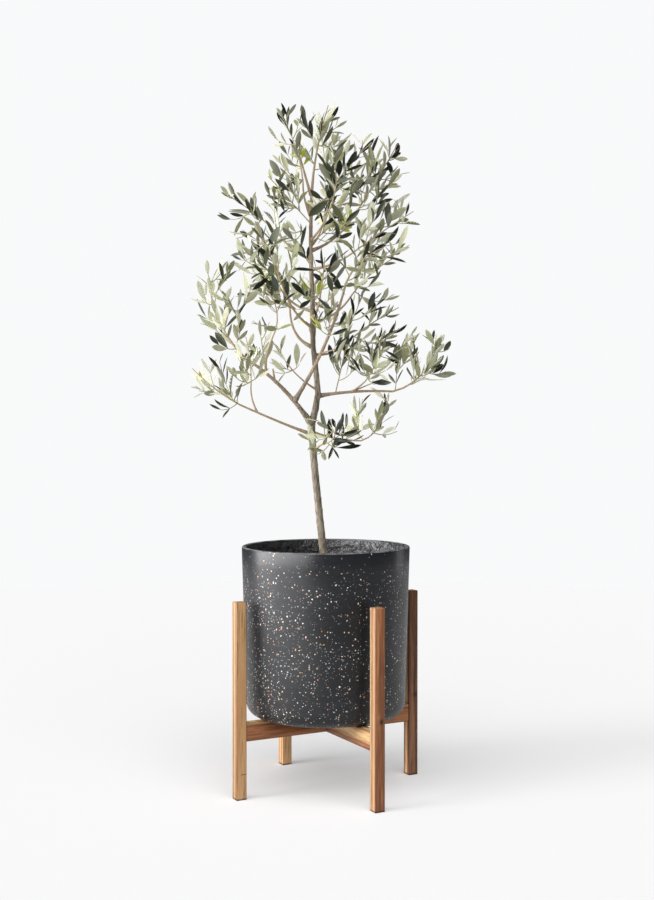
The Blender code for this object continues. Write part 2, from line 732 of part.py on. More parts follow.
def new_leaf(foot, ahead, face, size, rng):
    """Gives a leaf that grows from a foot in a direction, with its blade turned to a face."""
    length = size * LEAF_LENGTH * rng.uniform(1.0 - LEAF_LENGTH_SPREAD, 1.0 + LEAF_LENGTH_SPREAD)
    across = ahead.cross(face).normalized()
    across = Quaternion(ahead, rng.uniform(-LEAF_ROLL, LEAF_ROLL)) @ across
    up = across.cross(ahead).normalized()
    width = length * LEAF_WIDTH_SHARE * rng.uniform(1.0 - LEAF_WIDTH_SPREAD, 1.0 + LEAF_WIDTH_SPREAD)
    return Leaf(foot - ahead * LEAF_SINK, ahead, across, up, length, width)


def leaf_is_free(leaf, name, limbs, others, own_wood):
    """Tells whether a leaf stays in its space, clear of limbs, other twigs and other leaves."""
    corners = leaf_points(leaf)
    if not all(keeps_to_space(corner, name) for corner in corners[1:]):
        return False
    tip = corners[4]
    edges = (corners[1], corners[3])
    spine = [leaf.root.lerp(tip, share) for share in BLADE_PROBES]
    probes = [*spine, *(leaf.root.lerp(edge, EDGE_ROOT_PROBE) for edge in edges)]
    probes += [edge.lerp(tip, share) for edge in edges for share in EDGE_PROBES]
    if any(limb.clearance(probe) < LIMB_CLEARANCE for limb in limbs for probe in probes):
        return False
    if any(wood.clearance(probe) < LIMB_CLEARANCE for wood in own_wood for probe in probes[PAST_ROOT:]):
        return False
    for other in others:
        for share in NEIGHBOUR_PROBES:
            their_point = other.root + other.ahead * other.length * share
            if any((their_point - probe).length < LEAF_CLEARANCE for probe in spine[PAST_ROOT:]):
                return False
    return True


def leaves_along(name, wood, limbs, leaves, all_wood, rng):
    """Adds pairs of leaves along a stem or twig, each pair turned from the last, and one at its tip.

    One leaf of each pair leaves through the middle of a face of the twig.
    """
    turn = math.pi / TWIG_SIDES
    distance = LEAF_PITCH * FIRST_PAIR
    total = wood.length()
    others_wood = [other for other in all_wood if other is not wood]
    while distance < total:
        foot, along, frame = wood.along(distance)
        for half_turn in (0.0, math.pi):
            for attempt in range(LEAF_TRIES):
                lean = LEAF_LEAN + rng.uniform(-1.0, 1.0) * LEAF_LEAN_SPREAD
                stray = rng.uniform(-1.0, 1.0) * LEAF_STRAY * (1 + attempt)
                ahead = lean_from(along, frame, turn + half_turn + stray, lean)
                leaf = new_leaf(foot, ahead, along, 1.0 - LEAF_SHRINK * attempt, rng)
                if leaf_is_free(leaf, name, limbs, leaves, others_wood):
                    leaves.append(leaf)
                    break
        turn += 2.0 * math.pi / TWIG_SIDES
        distance += LEAF_PITCH * rng.uniform(1.0 - LEAF_PITCH_SPREAD, 1.0 + LEAF_PITCH_SPREAD)
    foot, along, frame = wood.along(total - TIP_LEAF_SINK)
    ahead = lean_from(along, frame, rng.uniform(0.0, 2.0 * math.pi), TIP_LEAF_LEAN)
    leaf = new_leaf(foot, ahead, ahead.orthogonal(), 1.0, rng)
    if leaf_is_free(leaf, name, limbs, leaves, others_wood):
        leaves.append(leaf)


def leaf_body(leaf):
    """Makes a leaf of six faces: a flat back and a ridged upper side."""
    bm = bmesh.new()
    root, right, top, left, tip = [bm.verts.new(corner) for corner in leaf_points(leaf)]
    belt = (right, top, left)
    fan_cap(bm, belt, tip)
    fan_cap(bm, belt, root)
    return bm


def join_bodies(name, stem, parts):
    """Joins a stem with its twigs and leaves into one solid, by one union on their collection."""
    group = bpy.data.collections.new(name + "_parts")
    bpy.context.scene.collection.children.link(group)
    for index, bm in enumerate(parts):
        part = add_object(f"{name}_part_{index}", bm, LEAF)
        bpy.context.scene.collection.objects.unlink(part)
        group.objects.link(part)
    body = add_object(name, stem, LEAF)
    union = body.modifiers.new("fused", "BOOLEAN")
    union.operation = "UNION"
    union.operand_type = "COLLECTION"
    union.collection = group
    union.solver = "EXACT"
    depsgraph = bpy.context.evaluated_depsgraph_get()
    fused = bpy.data.meshes.new_from_object(body.evaluated_get(depsgraph))
    body.modifiers.remove(union)
    body.data = fused
    for part in list(group.objects):
        bpy.data.objects.remove(part, do_unlink=True)
    bpy.data.collections.remove(group)
    keep_outer_shell(body)
    return body


def keep_outer_shell(body):
    """Drops loose scraps and sealed hollows, so that one closed skin is left."""
    bm = bmesh.new()
    bm.from_mesh(body.data)
    waiting = set(bm.verts)
    shells = []
    while waiting:
        queue = [waiting.pop()]
        shell = set(queue)
        while queue:
            for edge in queue.pop().link_edges:
                for vert in edge.verts:
                    if vert in waiting:
                        waiting.remove(vert)
                        shell.add(vert)
                        queue.append(vert)
        shells.append(shell)
    shells.sort(key=len)
    for shell in shells[:-1]:
        bmesh.ops.delete(bm, geom=list(shell), context="VERTS")
    bm.to_mesh(body.data)
    bm.free()


def make_masses(paths):
    """Grows every mass of leaves and fuses each to one solid."""
    stems = {name: stem_path(name, paths) for name in MASSES}
    for name, stem in stems.items():
        middle = Vector(MASSES[name].middle)
        far = max(MASSES[name].reach) + LIMB_CLEARANCE
        others = [*paths.values(), *(path for other, path in stems.items() if other != name)]
        limbs = [limb for limb in others if limb.clearance(middle) < far]
        twigs = twig_paths(name, stem, limbs)
        rng = random.Random(f"{SEED} {name} leaves")
        wood = [stem, *twigs]
        leaves = []
        for piece in reversed(wood):
            leaves_along(name, piece, limbs, leaves, wood, rng)
        parts = [tube(twig, TWIG_SIDES) for twig in twigs] + [leaf_body(leaf) for leaf in leaves]
        join_bodies(name, tube(stem, STEM_SIDES), parts)


def main():
    """Builds the whole plant on its stand."""
    clear_scene()
    make_stand()
    make_pot()
    make_soil()
    paths = limb_paths()
    make_limbs(paths)
    make_masses(paths)


main()
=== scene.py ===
"""Looks of the potted olive tree: bark, twigs, leaves, speckled pot, soil and wooden stand.

Units are metres, +Z is up, -Y is the front. The limbs and the masses of leaves repeat the sizes and
the growth rule of the solids that they replace, and are carried on to finer twigs.
"""

import json
import logging
import math
import random
from dataclasses import dataclass, field
from enum import Enum

import bmesh
import bpy
import numpy as np
from mathutils import Matrix, Quaternion, Vector, noise

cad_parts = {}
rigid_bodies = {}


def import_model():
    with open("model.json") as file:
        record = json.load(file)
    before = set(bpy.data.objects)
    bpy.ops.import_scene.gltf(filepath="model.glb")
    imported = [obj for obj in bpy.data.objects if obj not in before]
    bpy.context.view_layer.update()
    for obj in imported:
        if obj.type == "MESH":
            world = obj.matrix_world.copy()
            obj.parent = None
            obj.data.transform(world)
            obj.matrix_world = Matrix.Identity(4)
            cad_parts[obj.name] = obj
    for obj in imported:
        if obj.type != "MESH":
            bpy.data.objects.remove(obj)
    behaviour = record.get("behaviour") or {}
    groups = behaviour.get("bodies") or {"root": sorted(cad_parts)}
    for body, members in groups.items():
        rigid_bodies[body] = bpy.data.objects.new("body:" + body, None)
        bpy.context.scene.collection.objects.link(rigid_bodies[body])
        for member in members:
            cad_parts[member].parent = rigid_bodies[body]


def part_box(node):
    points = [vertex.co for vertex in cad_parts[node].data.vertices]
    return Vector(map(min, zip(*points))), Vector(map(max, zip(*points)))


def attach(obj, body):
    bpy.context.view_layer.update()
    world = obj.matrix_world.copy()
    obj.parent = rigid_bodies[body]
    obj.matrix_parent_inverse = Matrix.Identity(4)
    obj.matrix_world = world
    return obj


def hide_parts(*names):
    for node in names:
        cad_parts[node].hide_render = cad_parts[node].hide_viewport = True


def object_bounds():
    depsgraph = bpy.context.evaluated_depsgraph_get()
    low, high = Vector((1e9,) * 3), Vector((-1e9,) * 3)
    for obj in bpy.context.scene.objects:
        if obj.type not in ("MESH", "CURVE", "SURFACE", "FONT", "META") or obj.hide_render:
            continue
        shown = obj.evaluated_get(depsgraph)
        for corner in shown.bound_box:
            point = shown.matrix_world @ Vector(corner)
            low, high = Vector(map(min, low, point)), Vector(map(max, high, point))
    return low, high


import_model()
CAD_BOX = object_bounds()

LOG = logging.getLogger("olive")
BODY = "root"
SEED = 41
UP = Vector((0.0, 0.0, 1.0))
Colour = tuple[float, float, float]
Place = tuple[float, float, float]


class Sock:
    """A number's socket in a node tree. Python's operators on it add Math nodes."""

    def __init__(self, tree: "Tree", socket: bpy.types.NodeSocket) -> None:
        """Wraps a socket of a tree."""
        self.tree = tree
        self.socket = socket

    def math(self, operation: str, *others: "Sock | float", first: bool = True) -> "Sock":
        """Adds a Math node.

        Args:
            operation: the Math node's operation.
            others: the other operands.
            first: whether this socket is the first operand.

        Returns:
            The node's result.
        """
        operands = [self, *others] if first else [*others, self]
        inputs = dict(enumerate(operands))
        return self.tree.out(self.tree.add("ShaderNodeMath", {"operation": operation}, inputs))

    def __add__(self, other: "Sock | float") -> "Sock":
        """Adds."""
        return self.math("ADD", other)

    def __radd__(self, other: "Sock | float") -> "Sock":
        """Adds to a plain number."""
        return self.math("ADD", other)

    def __sub__(self, other: "Sock | float") -> "Sock":
        """Subtracts."""
        return self.math("SUBTRACT", other)

    def __rsub__(self, other: "Sock | float") -> "Sock":
        """Subtracts from a plain number."""
        return self.math("SUBTRACT", other, first=False)

    def __mul__(self, other: "Sock | float") -> "Sock":
        """Multiplies."""
        return self.math("MULTIPLY", other)

    def __rmul__(self, other: "Sock | float") -> "Sock":
        """Multiplies a plain number."""
        return self.math("MULTIPLY", other)

    def __truediv__(self, other: "Sock | float") -> "Sock":
        """Divides."""
        return self.math("DIVIDE", other)

    def __pow__(self, other: "Sock | float") -> "Sock":
        """Raises to a power."""
        return self.math("POWER", other)

    def step(self, low: float, high: float) -> "Sock":
        """Rises smoothly from 0 at low to 1 at high, or falls where low is above high."""
        settings = {"interpolation_type": "SMOOTHSTEP", "data_type": "FLOAT"}
        flipped = low > high
        inputs = {"Value": self, "From Min": min(low, high), "From Max": max(low, high)}
        rise = self.tree.out(self.tree.add("ShaderNodeMapRange", settings, inputs))
        return 1.0 - rise if flipped else rise


@dataclass
class Tree:
    """A node tree that is filled by one method, for materials and for Geometry Nodes."""

    nodes: bpy.types.NodeTree

    def add(self, kind: str, settings: dict | None = None, inputs: dict | None = None) -> bpy.types.Node:
        """Adds a node.

        Args:
            kind: the node's type.
            settings: its properties, set first. "stops" are a colour ramp's places and colours.
            inputs: values or links by the input's name or index.

        Returns:
            The node.
        """
        node = self.nodes.nodes.new(kind)
        for name, value in (settings or {}).items():
            if name == "stops":
                self.set_stops(node.color_ramp, value)
            else:
                setattr(node, name, value)
        for name, value in (inputs or {}).items():
            self.feed(node.inputs[name], value)
        return node

    def set_stops(self, ramp: bpy.types.ColorRamp, stops: list[tuple[float, Colour]]) -> None:
        """Sets a ramp's stops."""
        while len(ramp.elements) < len(stops):
            ramp.elements.new(1.0)
        for element, (place, colour) in zip(ramp.elements, stops):
            element.position = place
            element.color = (*colour, 1.0)

    def feed(self, socket: bpy.types.NodeSocket, value: object) -> None:
        """Links a socket, or sets its value. A colour of three numbers gets an opaque alpha."""
        if isinstance(value, Sock):
            self.nodes.links.new(value.socket, socket)
        elif isinstance(value, bpy.types.NodeSocket):
            self.nodes.links.new(value, socket)
        elif socket.type == "RGBA" and len(value) == 3:
            socket.default_value = (*value, 1.0)
        else:
            socket.default_value = value

    def out(self, node: bpy.types.Node, name: str | int = 0) -> Sock:
        """Gives one of a node's outputs as a number's socket."""
        return Sock(self, node.outputs[name])


class Look(Tree):
    """A material under construction: a Principled shader and the nodes that feed it."""

    def __init__(self, name: str) -> None:
        """Makes an empty material with its shader and output."""
        self.material = bpy.data.materials.new(name)
        self.material.use_nodes = True
        super().__init__(self.material.node_tree)
        self.nodes.nodes.clear()
        self.shader = self.add("ShaderNodeBsdfPrincipled")
        output = self.add("ShaderNodeOutputMaterial")
        self.nodes.links.new(self.shader.outputs["BSDF"], output.inputs["Surface"])
        self.place = self.add("ShaderNodeTexCoord").outputs["Object"]

    def mapped(self, scale: Place, turn: float = 0.0) -> bpy.types.NodeSocket:
        """Gives object coordinates turned about Z and then scaled."""
        turned = self.add("ShaderNodeMapping", {}, {"Vector": self.place, "Rotation": (0.0, 0.0, turn)})
        inputs = {"Vector": turned.outputs[0], "Scale": scale}
        return self.add("ShaderNodeMapping", {}, inputs).outputs[0]

    def axis(self, name: str, vector: bpy.types.NodeSocket | None = None) -> Sock:
        """Gives one axis of object coordinates, or of another vector."""
        split = self.add("ShaderNodeSeparateXYZ", {}, {0: vector or self.place})
        return self.out(split, name)

    def noise(self, scale: float, detail: float = 3.0, rough: float = 0.5,
              vector: bpy.types.NodeSocket | None = None) -> Sock:
        """Gives fractal noise from 0 to 1."""
        inputs = {"Vector": vector or self.place, "Scale": scale, "Detail": detail, "Roughness": rough}
        return self.out(self.add("ShaderNodeTexNoise", {}, inputs))

    def mix(self, share: "Sock | float", low: object, high: object, blend: str = "MIX") -> bpy.types.NodeSocket:
        """Mixes two colours by a share.

        Args:
            share: 0 gives the first colour and 1 the second.
            low: the first colour or its socket.
            high: the second colour or its socket.
            blend: the Mix node's way of blending.

        Returns:
            The mixed colour's socket.
        """
        node = self.add("ShaderNodeMix", {"data_type": "RGBA", "blend_type": blend, "clamp_factor": True})
        self.feed(node.inputs[0], share)
        self.feed(node.inputs[6], low)
        self.feed(node.inputs[7], high)
        return node.outputs[2]

    def relief(self, height: Sock, depth: float) -> None:
        """Gives the surface a relief of some metres' depth."""
        bump = self.add("ShaderNodeBump", {}, {"Height": height, "Distance": depth, "Strength": 1.0})
        self.feed(self.shader.inputs["Normal"], bump.outputs[0])

    def set(self, **values: object) -> None:
        """Sets or links sockets of the shader by name, with underscores for spaces."""
        for name, value in values.items():
            self.feed(self.shader.inputs[name.replace("_", " ")], value)


class Flecks(Enum):
    """The kinds of stone chip in the pot."""

    GREY = "grey"
    WHITE = "white"
    TAN = "tan"
    RUST = "rust"


@dataclass(frozen=True)
class Chip:
    """Chips of one kind: their spacing, their size and how many there are, as shares, and their colours."""

    spacing: float
    size: float
    share: float
    light: Colour
    dark: Colour


@dataclass(frozen=True)
class TerrazzoFinish:
    """Charcoal cast stone with small pale and rust chips, satin, with a paler worn lip that is partly a painted
    highlight.
    """

    ground: Colour = (0.0048, 0.0053, 0.0070)
    ground_pale: Colour = (0.0130, 0.0141, 0.0175)
    # Pale grey of the lip: partly worn stone and partly a painted highlight along the rim.
    lip: Colour = (0.21, 0.21, 0.22)
    warm: Colour = (0.050, 0.024, 0.014)
    rim_height: float = 0.4464
    chips: dict = field(default_factory=lambda: {
        Flecks.GREY: Chip(0.0038, 0.29, 0.80, (0.34, 0.35, 0.37), (0.09, 0.094, 0.10)),
        Flecks.WHITE: Chip(0.0048, 0.285, 0.76, (0.96, 0.95, 0.90), (0.46, 0.44, 0.40)),
        Flecks.TAN: Chip(0.0062, 0.25, 0.56, (0.74, 0.47, 0.26), (0.34, 0.19, 0.09)),
        Flecks.RUST: Chip(0.0090, 0.19, 0.42, (0.56, 0.20, 0.075), (0.26, 0.075, 0.030)),
    })

    def make(self) -> bpy.types.Material:
        """Makes the pot's outer material."""
        look = Look("pot_terrazzo")
        cloud = look.noise(8.0, 4.0, 0.6)
        brushed = look.noise(30.0, 3.0, 0.6, look.mapped((0.4, 0.4, 5.0)))
        colour = look.mix((cloud * 0.6 + brushed * 0.4).step(0.36, 0.68), self.ground, self.ground_pale)
        low = look.axis("Z").step(0.20, 0.14) * look.axis("X").step(0.02, -0.10)
        colour = look.mix(low * cloud.step(0.42, 0.62) * 0.6, colour, self.warm)
        crowd = self.crowding(look)
        for chip in self.chips.values():
            mask, tone = self.chip_mask(look, chip, crowd)
            colour = look.mix(mask, colour, look.mix(tone, chip.dark, chip.light))
        # A thin pale band just under the rim: partly the worn lip and partly a painted highlight.
        edge = look.axis("Z").step(self.rim_height - 0.0019, self.rim_height - 0.0006)
        colour = look.mix(edge * look.noise(60.0, 3.0).step(0.25, 0.6), colour, self.lip)
        band = look.axis("Z").step(self.rim_height - 0.075, self.rim_height - 0.025)
        roughness = 0.34 + look.noise(30.0, 4.0) * 0.14 - band * 0.12
        look.set(Base_Color=colour, Roughness=roughness, Specular_IOR_Level=0.36)
        look.relief(look.noise(420.0, 4.0, 0.6), 0.00018)
        return look.material

    def crowding(self, look: Look) -> Sock:
        """Gives how crowded the chips are: most at the left and low down, few at the rim."""
        side = look.axis("X").step(0.13, -0.14)
        low = look.axis("Z").step(self.rim_height - 0.004, self.rim_height - 0.085)
        drift = look.noise(16.0, 2.0).step(0.30, 0.66)
        return (0.62 + side * 0.40) * (0.22 + low * 0.80) * (0.38 + drift * 0.62)

    def chip_mask(self, look: Look, chip: Chip, crowd: Sock) -> tuple[Sock, Sock]:
        """Places chips of one kind.

        Args:
            look: the material.
            chip: the kind's sizes.
            crowd: how crowded the chips are, from 0 to 1.

        Returns:
            A mask of the chips and each chip's own tone from 0 to 1.
        """
        wobble = look.add("ShaderNodeTexNoise", {}, {"Vector": look.place, "Scale": 1.9 / chip.spacing})
        bend = look.add("ShaderNodeVectorMath", {"operation": "SCALE"}, {0: wobble.outputs["Color"]})
        look.feed(bend.inputs["Scale"], chip.spacing * 0.60)
        moved = look.add("ShaderNodeVectorMath", {"operation": "ADD"}, {0: look.place, 1: bend.outputs[0]})
        cells = look.add("ShaderNodeTexVoronoi", {"distance": "MANHATTAN"},
                         {"Vector": moved.outputs[0], "Scale": 1.0 / chip.spacing})
        pick = look.add("ShaderNodeSeparateXYZ", {}, {0: cells.outputs["Color"]})
        radius = chip.size * (0.5 + look.out(pick, "Z") * 0.9)
        inside = (radius - look.out(cells, "Distance")).step(-0.02, 0.03)
        chosen = (chip.share * crowd - look.out(pick, "X")).step(0.0, 0.01)
        return inside * chosen, look.out(pick, "Y")


@dataclass(frozen=True)
class LinerFinish:
    """The inside of the pot: nearly black and crinkled, with painted light that makes its right-hand side pale grey and
    painted shade in its folds.
    """

    shade: Colour = (0.007, 0.0074, 0.0088)
    grey: Colour = (0.026, 0.027, 0.030)
    # Painted light: the pale grey of the right-hand inner wall, where the light falls.
    painted_light_grey: Colour = (0.125, 0.125, 0.134)

    def make(self) -> bpy.types.Material:
        """Makes the inner wall's material."""
        look = Look("pot_inside")
        broad = (look.noise(48.0, 3.0, 0.6) - 0.5).math("ABSOLUTE").step(0.0, 0.085)
        fine = (look.noise(120.0, 3.0, 0.6) - 0.5).math("ABSOLUTE").step(0.0, 0.10)
        crease = broad * 0.55 + fine * 0.45
        # Painted light on the right-hand inner wall, and painted shade in the folds, which stay dark.
        painted_light_side = look.axis("X").step(-0.06, 0.05)
        dark = look.mix(crease, self.shade, self.grey)
        pale = look.mix(crease.step(0.1, 0.95), self.shade, self.painted_light_grey)
        look.set(Base_Color=look.mix(painted_light_side, dark, pale), Roughness=0.30 + crease * 0.2)
        look.relief(crease + look.noise(300.0, 3.0) * 0.2, 0.0016)
        return look.material


@dataclass(frozen=True)
class SoilFinish:
    """Dark moist potting mix."""

    wet: Colour = (0.022, 0.014, 0.009)
    dry: Colour = (0.075, 0.052, 0.034)

    def make(self) -> bpy.types.Material:
        """Makes the soil's material."""
        look = Look("soil_dark")
        crumbs = look.noise(150.0, 6.0, 0.7)
        look.set(Base_Color=look.mix(crumbs.step(0.4, 0.7), self.wet, self.dry), Roughness=0.95)
        look.relief(look.noise(420.0, 5.0, 0.7) + crumbs, 0.0014)
        return look.material


class WoodTone(Enum):
    """The tones of the boards: their pale, middle and dark grain."""

    HONEY = ((0.47, 0.310, 0.155), (0.37, 0.210, 0.090), (0.16, 0.072, 0.027))
    GOLDEN = ((0.62, 0.385, 0.185), (0.40, 0.200, 0.078), (0.17, 0.068, 0.025))
    CREAM = ((0.60, 0.440, 0.250), (0.49, 0.310, 0.150), (0.22, 0.110, 0.050))
    # The back-left leg's tone, partly painted light: made paler to make up for the shade that it stands in.
    AMBER = ((0.74, 0.45, 0.22), (0.60, 0.31, 0.13), (0.28, 0.115, 0.045))
    # The bars' tone, partly painted light: made paler to make up for the shade that the pot casts on them.
    STRAW = ((0.80, 0.58, 0.31), (0.64, 0.40, 0.18), (0.34, 0.17, 0.07))
    RUSSET = ((0.50, 0.225, 0.095), (0.33, 0.128, 0.050), (0.13, 0.043, 0.018))
    WALNUT = ((0.38, 0.175, 0.085), (0.20, 0.085, 0.040), (0.040, 0.017, 0.009))


@dataclass(frozen=True)
class WoodFinish:
    """Oiled hardwood with its grain along one piece, and darker heartwood at its front or low side.

    The grain runs along Z where upright, and otherwise along a level line that is turned about Z. The
    heartwood of a level board lies below a share of its half height.
    """

    name: str
    tone: WoodTone
    heart: WoodTone
    middle: Vector
    turn: float
    half: float
    other_half: float
    upright: bool = True
    heart_from: float = 0.2
    heart_to: float = 0.98
    knots: tuple[Place, ...] = ()
    knot_size: float = 0.0042
    heart_top: float = 0.0
    foot: float = 0.0046
    dark_line_width: float = 0.10
    joint: float | None = None
    joint_line: float = 0.0011

    def make(self) -> bpy.types.Material:
        """Makes the wood's material."""
        look = Look(self.name)
        along, across = 2.6, 52.0
        scale = (across, across, along) if self.upright else (along, across, across)
        run = look.mapped(scale, -self.turn)
        broad = look.noise(1.0, 3.0, 0.55, run)
        wave = {"Vector": run, "Scale": 0.50, "Distortion": 6.5, "Detail": 2.5, "Detail Scale": 0.7}
        rings = look.out(look.add("ShaderNodeTexWave", {"wave_type": "BANDS", "bands_direction": "Y"}, wave))
        fibre = look.noise(6.0, 4.0, 0.65, run)
        pore = look.noise(24.0, 3.0, 0.7, run)
        streak = look.noise(2.6, 4.0, 0.7, run).step(0.52, 0.68)
        grain = (broad * 0.40 + rings * 0.35 + fibre * 0.25).step(0.30, 0.70)
        vein = (rings * fibre).step(0.28, 0.52) * 0.85
        place = self.in_board(look)
        heart = self.heartwood(look, broad, place)
        tones = []
        for pale, middle, dark in (self.tone.value, self.heart.value):
            tones.append(look.mix(vein, look.mix(grain, pale, middle), dark))
        colour = look.mix(heart, *tones)
        mottle = look.noise(0.36, 3.0, 0.6, run).step(0.42, 0.64)
        colour = look.mix(mottle * 0.34, colour, self.heart.value[1])
        colour = look.mix(streak * 0.72, colour, look.mix(heart, self.tone.value[2], self.heart.value[2]))
        colour = look.mix(pore.step(0.58, 0.72) * 0.5, colour, self.heart.value[2])
        # The long edges are painted darker.
        colour = look.mix(self.arris(look, place) * (0.25 + fibre * 0.7), colour, self.heart.value[2])
        for knot in self.knots:
            colour = self.add_knot(look, colour, knot)
        if self.upright:
            # Darker in a broken line within a few millimetres of the bottom of an upright board.
            foot_darkening = look.axis("Z").step(self.foot, self.foot * 0.35) * look.noise(220.0, 3.0).step(0.20, 0.52)
            colour = look.mix(foot_darkening * 0.92, colour, WoodTone.WALNUT.value[2])
        else:
            # A dark line along the edge of a level board's heartwood.
            level = (look.axis("Z", place) / self.other_half - self.heart_top + (broad - 0.5) * -0.5)
            line = level.math("ABSOLUTE").step(self.dark_line_width * 1.4, self.dark_line_width * 0.3)
            colour = look.mix(line * 0.55, colour, self.heart.value[2])
        if self.joint is not None:
            away = (look.axis("Z") - self.joint + (fibre - 0.5) * self.joint_line).math("ABSOLUTE")
            front = look.axis("Y", place).step(-self.half * 0.5, -self.half * 0.9)
            front = front * look.axis("X", place).step(-self.half * 0.35, 0.0)
            colour = look.mix(away.step(self.joint_line, self.joint_line * 0.4) * front * 0.8, colour,
                              WoodTone.WALNUT.value[2])
        look.set(Base_Color=colour, Roughness=0.44 + fibre * 0.22, Specular_IOR_Level=0.30)
        look.relief(fibre * 0.6 + pore * 0.4, 0.00018)
        return look.material

    def in_board(self, look: Look) -> bpy.types.NodeSocket:
        """Gives a place measured from the board's middle, along and across the board."""
        place = look.add("ShaderNodeVectorMath", {"operation": "SUBTRACT"}, {0: look.place, 1: tuple(self.middle)})
        turned = look.add("ShaderNodeMapping", {}, {"Vector": place.outputs[0], "Rotation": (0.0, 0.0, -self.turn)})
        return turned.outputs[0]

    def heartwood(self, look: Look, broad: Sock, place: bpy.types.NodeSocket) -> Sock:
        """Gives the share of heartwood: full near the front side, or below the line of a level board."""
        if not self.upright:
            below = self.heart_top - look.axis("Z", place) / self.other_half
            return (below + (broad - 0.5) * 0.5).step(-0.08, 0.08)
        depth = look.axis("Y", place) * (-1.0 / self.half)
        return (depth + (broad - 0.5) * 1.2).step(self.heart_from, self.heart_to)

    def arris(self, look: Look, place: bpy.types.NodeSocket) -> Sock:
        """Masks the board's long edges, which are painted darker."""
        across = look.axis("Y", place).math("ABSOLUTE") / self.half
        other = look.axis("X" if self.upright else "Z", place).math("ABSOLUTE") / self.other_half
        return across.math("MINIMUM", other).step(0.78, 0.96)

    def add_knot(self, look: Look, colour: bpy.types.NodeSocket, knot: Place) -> bpy.types.NodeSocket:
        """Darkens the wood round a knot.

        Args:
            look: the material.
            colour: the wood's colour so far.
            knot: the knot's middle.

        Returns:
            The colour with the knot in it.
        """
        away = look.add("ShaderNodeVectorMath", {"operation": "DISTANCE"}, {0: look.place, 1: knot})
        distance = look.out(away, "Value") + (look.noise(180.0, 2.0) - 0.5) * self.knot_size
        halo = distance.step(self.knot_size * 2.0, self.knot_size * 0.8)
        eye = distance.step(self.knot_size, self.knot_size * 0.5)
        ring = look.mix(halo * 0.6, colour, self.heart.value[2])
        return look.mix(eye, ring, WoodTone.WALNUT.value[2])


@dataclass(frozen=True)
class BarkFinish:
    """Grey-brown young bark, paler and greener towards the thin ends of the boughs."""

    old: Colour = (0.085, 0.062, 0.040)
    grey: Colour = (0.37, 0.31, 0.23)
    young: Colour = (0.47, 0.35, 0.22)
    thick: float = 0.0052
    thin: float = 0.0017

    def make(self) -> bpy.types.Material:
        """Makes the bark's material."""
        look = Look("bark_young")
        long_run = look.mapped((1.0, 1.0, 0.22))
        plates = look.noise(330.0, 5.0, 0.65, long_run)
        patch = look.noise(55.0, 4.0, 0.6, long_run)
        colour = look.mix((plates * 0.60 + patch * 0.40).step(0.40, 0.62), self.old, self.grey)
        girth = look.out(look.add("ShaderNodeAttribute", {"attribute_name": "girth"}), "Fac")
        colour = look.mix(girth.step(self.thick, self.thin) * 0.85, colour, self.young)
        freckle = look.noise(700.0, 2.0, 0.5).step(0.66, 0.74)
        colour = look.mix(freckle * 0.5, colour, self.grey)
        look.set(Base_Color=colour, Roughness=0.72 + plates * 0.2)
        look.relief(plates, 0.0009)
        return look.material


@dataclass(frozen=True)
class PlainTint:
    """A plain colour of leaves or twigs, with a fine sheen and relief of its own."""

    name: str
    colour: Colour
    roughness: float = 0.5
    sheen: float = 0.0
    gloss: float = 0.35

    def make(self) -> bpy.types.Material:
        """Makes the tint's material."""
        look = Look(self.name)
        look.set(Base_Color=self.colour, Roughness=self.roughness + (look.noise(260.0, 2.0) - 0.5) * 0.2,
                 Sheen_Weight=self.sheen, Specular_IOR_Level=self.gloss)
        look.relief(look.noise(900.0, 3.0), 0.00008)
        return look.material


class Tint(Enum):
    """The colours of a leaf's upper face and of its underside."""

    # Near-black upper face, darker than a lit olive leaf: partly painted shade that stands in for leaves in shadow.
    NIGHT = (PlainTint("leaf_night", (0.014, 0.019, 0.010), 0.44, gloss=0.20),
             PlainTint("leaf_under_grey", (0.20, 0.205, 0.132), 0.75, 0.2))
    DEEP = (PlainTint("leaf_deep", (0.040, 0.049, 0.021), 0.45, gloss=0.26),
            PlainTint("leaf_under_dull", (0.36, 0.36, 0.235), 0.75, 0.2))
    OLIVE = (PlainTint("leaf_olive", (0.135, 0.148, 0.060), 0.44),
             PlainTint("leaf_under_olive", (0.53, 0.53, 0.355), 0.75, 0.2))
    SAGE = (PlainTint("leaf_sage", (0.35, 0.36, 0.195), 0.46),
            PlainTint("leaf_under_sage", (0.65, 0.65, 0.47), 0.75, 0.2))
    PALE = (PlainTint("leaf_pale", (0.60, 0.61, 0.395), 0.50),
            PlainTint("leaf_under_silver", (0.84, 0.84, 0.66), 0.75, 0.2))
    FRESH = (PlainTint("leaf_fresh", (0.38, 0.44, 0.030), 0.42),
             PlainTint("leaf_under_fresh", (0.56, 0.60, 0.10), 0.75, 0.2))


class Tone(Enum):
    """How a mass's sprays are dealt the tints, dark to pale and last the fresh green."""

    DARK = (0.41, 0.27, 0.10, 0.07, 0.13, 0.02)
    MIXED = (0.34, 0.25, 0.11, 0.09, 0.19, 0.02)
    SAGE = (0.24, 0.20, 0.14, 0.13, 0.27, 0.02)
    PALE = (0.14, 0.14, 0.13, 0.19, 0.38, 0.02)


